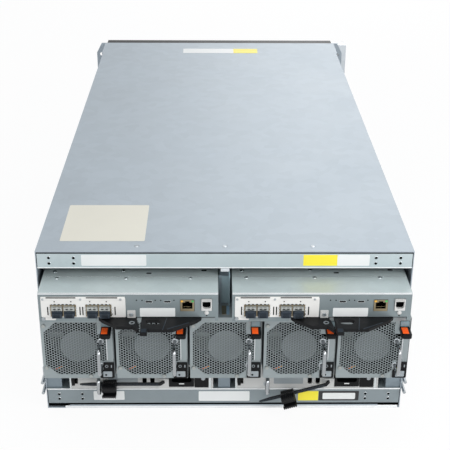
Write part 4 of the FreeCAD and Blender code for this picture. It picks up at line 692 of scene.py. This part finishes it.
def canister(wing, shift):
    """One I/O module: its ports, top sheet and two levers."""
    prefix, body = f"io_{wing}_", f"io_{wing}_case"
    face = Kit(prefix, body, upright(shift, extent(body)[5]))
    top = Kit(prefix, body, lying(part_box(body)[1][2], shift))
    lever_top = lying(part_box(f"io_{wing}_long_lever")[1][2], shift)
    short, long = (Kit(prefix, f"io_{wing}_{lever}_lever", lever_top) for lever in ("short", "long"))
    softened(body, CANISTER_SHEET, 0.35)
    # white port bracket with its folded top, cut out for the two cages
    bracket = face.work("port_bracket", PORT_WHITE, 0.25)
    bracket.plate(oblong(-212.4, -115.0, 38.9, 64.4, 1.2), 0, 1.0,
                  [oblong(a, b, 47.6, 63.7) for a, b in CAGES])
    fold = [(37.6, 0.1), (38.2, 0.1), (39.4, 1.9), (40.8, 2.1), (40.8, 1.0), (38.8, 1.0)]
    bracket.swept(fold, -212.0, -115.5).box(-211.5, -196, 64.6, 68.4, 0, 0.9, 0.8)
    bracket.done(f"io_{wing}_ports")
    # painted shade in the bracket's slots, in the slits beside the cages and under the fold above them
    slots = face.work("bracket_slot_shade", BLACK_AND_SHADE, 0)
    for a, b in ((-206, -172), (-160, -124)):
        slots.box(a, b, 37.95, 38.8, 1.0, 1.75)
    for x in (-205.4, -168.2, -165.0, -127.8):
        slots.box(x, x + 1.3, 50.5, 61.5, 0.9, 1.1)
    for a, b in CAGES:
        slots.box(a + 1.5, b - 1.5, 46.9, 47.7, 0.9, 1.12)
    slots.done()
    rivets = [(x, 40.3, 1.9) for x in (-209.8, -166.5, -120.5)]
    face.spread(RIVETS, "bracket_rivets", rivets, ZINC, True, Radius=1.5, Height=0.7)
    # cages, transceivers and plugs, with painted shade deep in the cages and in the transceivers' openings
    gold, dark = face.work("cages", GOLD, 0.12), face.work("cage_shade", BLACK_AND_SHADE, 0)
    plug, heads = face.work("plugs", SLATE, 0.5), face.work("transceiver_heads", NICKEL, 0.25)
    springs = []
    for a, b in CAGES:
        middle = (a + b) / 2
        mouths = [(a + 1.3, middle - 0.5), (middle + 0.5, b - 1.3)]
        gold.plate(oblong(a + 0.3, b - 0.3, 47.9, 63.3, 0.6), -60, 1.6,
                   [oblong(left, right, 48.9, 62.4) for left, right in mouths])
        dark.box(a + 1.2, b - 1.2, 48.8, 62.5, -59.9, -59.0)
        springs += [(a + 3.4 + 4.6 * step, 47.6, 1.2) for step in range(6)]
        springs += [(x, 52.0 + 4 * step, 1.1) for x in (a - 0.1, b + 0.1) for step in range(3)]
        for left, right in mouths:
            centre, half = (left + right) / 2, (right - left) / 2
            heads.plate(oblong(left + 0.3, right - 0.3, 49.0, 55.0, 0.4), -28, 3.2,
                        [oblong(centre - half * 0.62, centre - 1.0, 50.4, 53.4, 0.6),
                         oblong(centre + 1.0, centre + half * 0.62, 50.4, 53.4, 0.6)])
            dark.box(left + 0.5, right - 0.5, 49.4, 54.6, 1.2, 1.6)
            plug.box(left + 0.3, right - 0.3, 56.0, 62.3, -30, 4.0, 0.8)
            if wing == "right":
                dome = arc(centre, 57.0, half - 0.7, 180, 360, 10)
                plug.plate([(x, 57.0 + (y - 57.0) * 0.5) for x, y in dome], 2.0, 5.4)
            plug.box(left + 0.8, right - 0.8, 57.0, 63.4, 3.6, 6.0, 0.8)
            plug.box(left + 2.6, right - 2.6, 54.8, 56.2, 0, 4.6, 0.5)
            heads.wire([(left + 0.9, 49.6, 2.8), (left + 0.9, 50.2, 5.2), (right - 0.9, 50.2, 5.2),
                        (right - 0.9, 49.6, 2.8)], 0.5)
    for piece in (gold, dark, plug, heads):
        piece.done()
    face.spread(BARS, "cage_springs", springs, BRIGHT, Size=(1.9, 1.5, 0.8))
    # painted shade in the grooves on the plugs
    grooves = [(x, 58.4 + step * 1.7, 6.05) for x in (-194.2, -179.7, -153.4, -138.9) for step in range(3)]
    face.spread(BARS, "plug_groove_shade", grooves, BLACK_AND_SHADE, Size=(7.4, 0.6, 0.12))
    # dark dots at the lamps: painted shade in their holes
    lamps = [(x, 43.6, 1.15) for x in (-196.5, -177.5, -155.8, -136.8)]
    face.spread(LAMPS, "port_lamps", lamps, BLACK_AND_SHADE, Radius=0.8, Height=0.3)
    lamps = [(x, 42.4, 0.15) for x in (-102.2, -95.8, -80.6, -74.3, -59.1)]
    face.spread(LAMPS, "state_lamps", lamps, BLACK_AND_SHADE, Radius=0.8, Height=0.2)
    # sockets
    jack = face.work("network_jack", BRONZE, 0.15)
    mouth = [(-49.6, 45.1), (-46.2, 45.1), (-46.2, 43.4), (-41.3, 43.4), (-41.3, 45.1), (-37.9, 45.1),
             (-37.9, 53.3), (-49.6, 53.3)]
    jack.plate(oblong(-51.8, -35.8, 41.9, 56.6, 0.4), -21, 0.7, [mouth]).done()
    lining = face.work("jack_lining", BLACK, 0)
    lining.plate(oblong(-50.2, -37.3, 42.9, 53.9), -20.4, 0.2, [mouth])
    lining.box(-50, -37.5, 43.2, 53.5, -20.5, -12).done()
    contacts = [(-47.8 + 1.16 * step, 51.6, -7) for step in range(8)]
    face.spread(BARS, "jack_contacts", contacts, PIN_METAL, Size=(0.5, 0.5, 12.0))
    face.work("jack_amber_lamp", LAMP_AMBER, 0.1).box(-51.3, -48.6, 42.3, 44.5, 0.6, 1.0).done()
    face.work("jack_green_lamp", LAMP_GREEN, 0.1).box(-39.0, -36.3, 42.3, 44.5, 0.6, 1.0).done()
    serial = face.work("serial_socket", CREAM, 0.2)
    serial.plate(oblong(-27.6, -15.4, 40.8, 55.8, 0.8), -21, 1.4,
                 [[(-26.3, 44.0), (-16.8, 44.0), (-16.8, 51.0), (-18.6, 53.0), (-24.5, 53.0), (-26.3, 51.0)]])
    serial.turned(-21.5, 58.8, [(2.6, 0.0), (2.6, 0.8), (1.4, 1.6), (0.3, 1.8)], 16).done()
    # painted shade inside the socket's mouth; a small dark dot lies below it
    shade = face.work("serial_socket_shade", BLACK_AND_SHADE, 0).box(-26.5, -16.6, 43.8, 53.2, -3.5, -2.5)
    shade.turned(-21.5, 62.8, [(0.9, 0.02), (0.9, 0.12)], 12).done()
    ribs = [(-26.2 + 1.6 * step, 42.3, 1.6) for step in range(7)]
    face.spread(BARS, "serial_ribs", ribs, CREAM, Size=(0.7, 2.0, 0.8))
    rims, tongues = face.work("usb_rims", BRIGHT, 0.08), face.work("usb_tongues", BLACK, 0.05)
    for x in (-88.0, -66.7):
        rims.plate(oblong(x - 4.2, x + 4.2, 42.6, 45.6, 0.8), -0.2, 0.4,
                   [oblong(x - 3.7, x + 3.7, 43.0, 45.2, 0.6)])
        tongues.box(x - 3.6, x + 3.6, 43.05, 45.15, 0.01, 0.06)
    rims.done()
    tongues.done()
    face.work("blank_label", WHITE_FILM, 0).box(-98.7, -57.9, 52.7, 64.1, *FILM, 1.0).done()
    face.work("square_tab", CREAM, 0.3).box(-113.4, -103.8, 55.4, 66.2, 0, 1.3, 0.8).done()
    spots = [(-108.6, 60.8, 1.6), (-210.4, 66.6, 1.2)]
    face.spread(SCREWS, "face_screws", spots, ZINC, Radius=2.4, Height=1.0)
    # rivets on the top sheet, and painted shade in its slots
    rivets = [(x - shift, -out, 0.08) for x, out in TOP_RIVETS[wing]]
    top.spread(RIVETS, "top_rivets", rivets, BRIGHT, True, Radius=2.4, Height=0.7)
    slots = top.work("top_slot_shade", BLACK_AND_SHADE, 0)
    for x, out in TOP_SLOTS[wing]:
        slots.box(x - shift - 3.2, x - shift + 3.2, -out - 1.6, -out + 1.6, 0.06, 0.1, 1.5)
    slots.done()
    # a thin lighter sheet over the top: painted light, for the light that falls on the top
    top.work("lid", LIT_TOP_SHEET, 0).box(-215.3, -8.3, -39.7, 60, 0.01, 0.06).done()
    # a bright line along the top's crease: a painted highlight on the bend
    top.work("top_crease_highlight", BRIGHT, 0.1).box(-213.5, -10.0, -0.9, -0.4, 0.0, 0.12).done()
    # a painted highlight along the rounded bend of the top's front edge
    edge = face.work("top_edge_highlight", FOLD_HIGHLIGHT, 0.1)
    edge.swept([(32.95, -1.4), (34.3, -0.1), (34.6, 0.16), (33.6, 0.14), (32.9, -0.5)], -215.4, -8.2).done()
    # levers
    for lever in ("short", "long"):
        softened(f"io_{wing}_{lever}_lever", BLACK, 0.6)
    boss = short.work("short_lever_boss", ZINC, 0.1)
    boss.plate(ring_of(-107.3, -52.5, 3.4), -0.1, 0.35, [ring_of(-107.3, -52.5, 1.9)]).done()
    ribs = [(-93.0, -66.2 - 1.5 * step, 0.1) for step in range(5)]
    long.spread(BARS, "lever_grip_ribs", ribs, SLATE, Size=(6.0, 0.7, 0.5))
    finger = short.work("lever_finger", BLACK, 0.4)
    finger.plate([(-108.0, -42.0), (-101.2, -47.0), (-98.4, -67.0), (-100.8, -68.5), (-108.0, -58.0)],
                 -4.0, 0.3).done()
    # raised ridges on the lever, in a lighter slate than its black: the lighter colour is a painted highlight
    # on the rims
    ridges = long.work("lever_ridges", SLATE, 0.1)
    ridges.plate([(-68.0, -42.0), (-67.2, -42.0), (-71.2, -68.0), (-72.0, -68.0)], -0.1, 0.25)
    ridges.plate([(-66.0, -66.6), (-42.0, -52.6), (-42.4, -51.8), (-66.4, -65.6)], -0.1, 0.25)
    ridges.done()


# ---- fan modules

FAN_FACE = 30.0
FAN_HANDLE_X, FAN_HANDLE_FEET = -147.45, (104.2, 138.2)
HANDLE_RADIUS = 2.3
GRILLE_PITCH = 3.45
LATCH_ROOM = (-148.0, 97.9)  # no grille right of and above this, where the latch is pressed down
# the opening that the grille fills
FIELD = [(-214, 92), (-200, 78.5), (-151, 78.5), (-151, 94.5), (-141.6, 94.5), (-141.6, 132), (-150.5, 132),
         (-150.5, 145), (-156, 151), (-200, 151), (-214, 137)]


def inside(x, y, outline):
    """Whether a point is inside an outline."""
    within = False
    for (ax, ay), (bx, by) in zip(outline, outline[1:] + outline[:1]):
        if (ay > y) != (by > y) and x < (bx - ax) * (y - ay) / (by - ay) + ax:
            within = not within
    return within


def seats(kit, x, feet, profile):
    """The turned collars that a handle's feet come out of."""
    collars = kit.work("handle_collars", ZINC)
    for down in feet:
        collars.turned(x, down, profile, 16)
    collars.done()


def bail(kit, x, feet, reach, foot, bend):
    """A wire handle: out from one foot, down and back to the other, with turned corners."""
    top, bottom = feet
    quarter = [radians(15 * step) for step in range(7)]
    path = [(top, foot)]
    path += [(top + bend - bend * cos(a), reach - bend + bend * sin(a))
             for a in quarter]
    path += [(bottom - bend + bend * sin(a), reach - bend + bend * cos(a))
             for a in quarter]
    path += [(bottom, foot)]
    wire = kit.work("wire_handle", CHROME, 0)
    wire.wire([(x, down, level) for down, level in path], HANDLE_RADIUS, 12)
    wire.done(kit.prefix + "handle", smooth=True)


def fan(number):
    """One fan module, drawn where the first one is and moved along."""
    prefix, body, shift = f"fan_{number}_", f"fan_{number}_case", FAN_STEP * (number - 1)
    left, right, top, bottom, deep, _ = extent("fan_1_case")
    middle, centre = (left + right) / 2, (top + bottom) / 2
    face, block = FAN_FACE, FAN_FACE + 1.6
    kit = Kit(prefix, body, upright(shift))
    latch = Kit(prefix, f"fan_{number}_latch", kit.panel)
    rotor = Kit(prefix, f"fan_{number}_rotor", kit.panel)

    def within(inset, radius=0.0):
        return oblong(left + inset, right - inset, top + inset, bottom - inset, radius)

    case = kit.work("case_sheet", FACE_SHEET, 0.25)
    case.plate(within(0, 1.0), face - 0.8, face, [FIELD])
    case.plate(within(0, 1.0), deep, face - 0.8, [within(0.8, 0.6)])
    # the motor's seat and its four struts
    case.plate(within(0.8), -4.0, -1.0, [ring_of(middle, centre, 39.2, 32)])
    case.turned(middle, centre, [(16, -4.0), (16, -1.0)], 24)
    case.box(middle - 3, middle + 3, top + 1, centre - 12, -3.8, -1.2)
    case.box(middle - 3, middle + 3, centre + 12, bottom - 1, -3.8, -1.2)
    case.box(left + 1, middle - 12, centre - 3, centre + 3, -3.8, -1.2)
    case.box(middle + 12, right - 1, centre - 3, centre + 3, -3.8, -1.2).done(body)
    # the fan's frame in the near-black finish: its own black, and painted shade inside the fan
    duct = kit.work("fan_frame", BLACK_AND_SHADE, 0.3)
    duct.plate(within(1.2, 3.0), -0.6, 24.0, [ring_of(middle, centre, 39.6, 40)])
    duct.plate(within(1.0), 24.2, face - 1.0, [within(1.5)]).done()
    cell = GRILLE_PITCH / sqrt(3)
    # the cells' centres may lie a little past the opening's edge, behind the sheet
    reached = [(x + (1.2 if x > middle else -1.2), y + (1.2 if y > centre else -1.2)) for x, y in FIELD]
    points = []
    for column in range(-14, 15):
        for row in range(-12, 13):
            x, y = middle + column * cell * 1.5, centre + (row + 0.5 * (column % 2)) * GRILLE_PITCH
            behind_latch = x > LATCH_ROOM[0] and y < LATCH_ROOM[1]
            if not behind_latch and (inside(x, y, FIELD) or inside(x, y, reached)):
                points.append((x, y, face - 0.45))
    kit.spread(NET, "grille", points, FACE_SHEET, Cell=cell, Web=0.4, Thickness=0.7)
    strip = [(-140.4, 93.4), (-133.0, 93.4), *arc(-136.0, 128.0, 3.2, 0, 60), (-140.4, 130.2)]
    kit.work("folded_edge", FACE_SHEET, 0.3).plate(strip, face, face + 0.5).done()
    # a painted highlight along the fold's edge
    kit.work("folded_edge_highlight", FOLD_HIGHLIGHT, 0.1).box(-140.7, -140.1, 93.8, 130.0, face, face + 0.8, 0.2).done()
    side = kit.work("folded_edge_side", BLACK, 0.1)
    side.box(-133.2, -132.4, 73.0, 155.8, face - 5.0, face + 0.05, 0.2).done()
    seats(kit, FAN_HANDLE_X, FAN_HANDLE_FEET, [(3.9, face - 0.1), (3.9, face + 0.7), (3.0, face + 1.2)])
    bail(kit, FAN_HANDLE_X, FAN_HANDLE_FEET, 54.0, face - 1, 6.5)
    spots = [(x, down, face + 0.5) for x, down in ((-213.4, 83.0), (-213.2, 141.5), (-160.9, 153.2))]
    kit.spread(SCREWS, "face_screws", spots, NICKEL, Radius=2.6, Height=1.2)
    softened(f"fan_{number}_latch", BLACK, 0.5)
    latch.work("latch_pad", ORANGE, 0.25).box(-144.6, -137.2, 83.5, 83.95, face + 3.0, face + 16.5).done()
    latch.work("latch_stem", TEAL, 0.3).box(-144.9, -134.7, 76.6, 83.6, face - 0.2, face + 1.1, 0.6).done()
    ribs = [(-140.9, 83.4, face + 7 + 2.0 * step) for step in range(5)]
    latch.spread(BARS, "latch_ribs", ribs, ORANGE, Size=(6.4, 0.5, 0.8))
    keeper = kit.work("keeper_block", BLACK, 0.4)
    keeper.box(-149.5, -133.0, 144.4, 155.8, face, block, 1.0)
    keeper.box(-145.4, -133.0, 133.6, 144.0, face, block, 1.0).done()
    ring = kit.work("keeper_ring_mark", GREY_FILM, 0)
    ring.plate(ring_of(-141.6, 138.6, 1.9), block, face + 1.7, [ring_of(-141.6, 138.6, 1.3)])
    ring.box(-136.4, -135.2, 136.8, 140.4, block, face + 1.72).done()
    plate = kit.work("keeper_grey_plate", GREY_FILM, 0.3)
    plate.box(-146.0, -135.3, 145.6, 153.6, block, face + 2.2, 0.8).done()
    kit.work("keeper_dot", BLACK_AND_SHADE, 0).turned(-142.6, 150.6, [(1.3, face + 2.2), (1.3, face + 2.26)], 14).done()
    hub = rotor.work("hub_label", HUB_GREY, 0.2)
    hub.turned(middle, centre, [(21.4, 24.7), (21.4, 25.2), (20.2, 25.7)], 32).done()
    for tint, name, offset in ((RED_DYE, "red", 0.0), (LAMP_AMBER, "yellow", 1.6), (BLACK_AND_SHADE, "black", 3.2)):
        lead = kit.work(f"{name}_motor_lead", tint, 0)
        lead.wire([(-212.0 + offset, 152.0, -2), (-211.2 + offset, 150.5, 14), (-208.0 + offset, 147.8, 24),
                   (-202.0 + offset, 145.0, 26.5), (-196.0 + offset, 142.6, 25.6)], 0.7)
        lead.done(smooth=True)


# ---- power supplies

POWER_HANDLE_X, POWER_HANDLE_FEET = 52.7, (165.4, 185.7)
STRAP_ROOT, STRAP_DROOP = (130.7, 183.1), {"left": 0, "right": -17}


def power_supply(wing, shift):
    """One power supply, drawn where the right one is and moved along."""
    body = f"power_{wing}_case"
    kit = Kit(f"power_{wing}_", body, upright(shift))
    softened(body, CREAM, 0.3)
    bail(kit, POWER_HANDLE_X, POWER_HANDLE_FEET, 24.0, -1.0, 5.5)
    seats(kit, POWER_HANDLE_X, POWER_HANDLE_FEET, [(3.9, -0.1), (3.9, 0.7), (3.0, 1.1)])
    kit.work("blank_label", GREY_FILM, 0).box(61.9, 98.6, 170.5, 186.0, *FILM, 1.0).done()
    inlet = kit.work("inlet_frame", BLACK, 0.3)
    mouth = oblong(140.6, 165.6, 165.4, 182.9, 3.0)
    inlet.plate(oblong(136.8, 168.6, 160.6, 189.6, 1.2), 0, 1.4, [mouth])
    inlet.plate(oblong(139.7, 166.5, 164.5, 183.8), -15.6, 0.1, [mouth])
    inlet.box(140.0, 166.2, 165.0, 183.4, -15.9, -15.2)
    inlet.box(146.2, 160.0, 170.2, 178.0, -15.4, -3.5, 1.4).done()
    pins = [(148.0, 174.1, -8.5), (158.2, 174.1, -8.5), (153.1, 169.0, -8.5)]
    kit.spread(BARS, "inlet_pins", pins, PIN_METAL, Size=(2.4, 5.0, 13.0))
    kit.work("inlet_mark", WHITE_FILM, 0).box(150.0, 156.2, 184.2, 185.6, 1.4, 1.5).done()
    kit.work("side_panel", BLACK, 0.3).box(169.2, 186.6, 160.0, 190.8, 0, 1.0, 0.8).done()
    kit.spread(SCREWS, "side_screw", [(180.0, 176.8, 1.5)], ZINC, Radius=2.9, Height=1.2)
    kit.work("bright_edge", BRIGHT, 0.2).box(187.2, 189.6, 159.2, 191.6, 0, 1.6, 0.4).done()
    kit.work("left_edge", BRIGHT, 0.2).box(13.9, 15.8, 159.2, 191.6, 0, 1.2, 0.4).done()
    # painted shade at the floors of the two windows
    rims, voids = kit.work("window_rims", CREAM, 0.2), kit.work("window_shade", BLACK_AND_SHADE, 0)
    for x in (107.0, 116.8):
        rims.plate(oblong(x - 3.7, x + 3.7, 170.4, 187.2, 3.6, 6), 0, 0.5,
                   [oblong(x - 2.8, x + 2.8, 171.4, 186.2, 2.7, 6)])
        voids.box(x - 2.7, x + 2.7, 171.5, 186.1, -2.4, -1.6)
    rims.done()
    voids.done()
    softened(f"power_{wing}_latch", BLACK, 0.4)


def cord_clamp(wing, shift):
    """The toothed strap and the ribbed clamp on it; the right one hangs from its root."""
    root = Vector((STRAP_ROOT[0] + shift, rear_y / MM, cover_top / MM - STRAP_ROOT[1])) * MM
    droop = Matrix.Rotation(radians(STRAP_DROOP[wing]), 4, "Y")
    swing = Matrix.Translation(root) @ droop @ Matrix.Translation(-root)
    case, strap, clamp = f"power_{wing}_case", f"power_{wing}_strap", f"power_{wing}_clamp"
    softened(strap, NYLON, 0.3, case)
    softened(clamp, BLACK, 0.4)
    behind = upright(shift)
    across = Panel((shift * MM, rear_y, cover_top), (0, -1, 0), (0, 0, 1))
    for panel in (behind, across):
        panel.matrix = swing @ panel.matrix
    # where the teeth end, and the middle of the clamp, along the rear face
    end, middle = (40.7, 77.7) if wing == "right" else (27.7, 64.7)
    first, pitch = 124, 1.8
    teeth = [(first - pitch * step, 180.85, 8.7) for step in range(int((first - end) / pitch))]
    BARS.spread(f"{strap}_teeth", teeth, SLATE, case, behind, Size=(0.8, 3.2, 0.4))
    ribs = Work(f"{clamp}_ribs", BLACK, clamp, across, 0.2)
    for step in range(-3, 4):
        level = 2.5 * step - middle
        for start, stop in ((22, 150), (210, 338)):
            ribs.plate(arc(18.2, 182.85, 10.0, start, stop, 16) + arc(18.2, 182.85, 8.9, stop, start, 16),
                       level - 0.55, level + 0.55)
    ribs.done()


chassis_fittings()
rack_ear_fittings()
for floor in FLOORS:
    drawer_fittings(floor)
for wing, shift in (("left", 0.0), ("right", CANISTER_STEP)):
    canister(wing, shift)
for number in FANS:
    fan(number)
for wing, shift in (("right", 0.0), ("left", -POWER_STEP)):
    power_supply(wing, shift)
    cord_clamp(wing, shift)


# ---- studio

def studio():
    """A pale floor, a white surround and broad soft lamps."""
    bpy.ops.mesh.primitive_plane_add(size=60, location=(0, 0, -0.0005))
    floor = bpy.context.object
    floor.name = "studio_floor"
    finish = Finish("studio_floor_paint", 0.9)
    finish.paint(linear((251, 251, 251)))
    share = 0.92  # short of 1, so that the shelf's shadow still shows on the floor
    finish.whitened(finish.shader, "Emission", share)
    floor.data.materials.append(finish.material)
    world = bpy.data.worlds.new("studio_world")
    bpy.context.scene.world = world
    world.use_nodes = True
    sky = Nodes(world.node_tree)
    back = sky.nodes["Background"]
    back.inputs["Color"].default_value = (0.93, 0.96, 1.0, 1)
    back.inputs["Strength"].default_value = 0.55
    sky.whitened(back, "Background", 1.0)
    for name, place, aim, size, power in (
            ("overhead_panel", (-0.3, -0.2, 2.2), (0, 0, 0.1), 2.2, 8),
            ("rear_panel", (-0.5, -2.2, 1.3), (0, -0.4, 0.1), 1.2, 10),
            ("side_panel", (0.95, -1.2, 0.85), (0.2, -0.45, 0.1), 0.7, 9),
            ("front_panel", (0.6, 2.4, 1.3), (0, 0.4, 0.1), 1.6, 14)):
        lamp = bpy.data.lights.new(name, "AREA")
        lamp.shape, lamp.size, lamp.energy = "DISK", size, power
        holder = placed(name, lamp)
        holder.location = place
        holder.rotation_euler = (Vector(aim) - Vector(place)).to_track_quat("-Z", "Y").to_euler()


def camera():
    """A long lens a metre behind the shelf and above it, looking down at the rear face."""
    pitch, yaw, roll = map(radians, (25.865, 0.837, 0.391))
    ahead = Vector((sin(yaw) * cos(pitch), cos(yaw) * cos(pitch), -sin(pitch)))
    level = Vector((cos(yaw), -sin(yaw), 0))
    up = level.cross(ahead)
    right = cos(roll) * level + sin(roll) * up
    top = -sin(roll) * level + cos(roll) * up
    data = bpy.data.cameras.new("rear_camera")
    data.sensor_width, data.lens = 36, 80.21
    data.shift_x, data.shift_y = 0.00127, -0.00042
    data.clip_start, data.clip_end = 0.05, 100
    eye = placed("rear_camera", data)
    turn = Matrix((right, top, -ahead)).transposed().to_4x4()
    eye.matrix_world = Matrix.Translation((-0.01624, -1.48667, 0.76156)) @ turn
    bpy.context.scene.camera = eye


studio()
camera()
bpy.context.scene.view_settings.view_transform = "Standard"
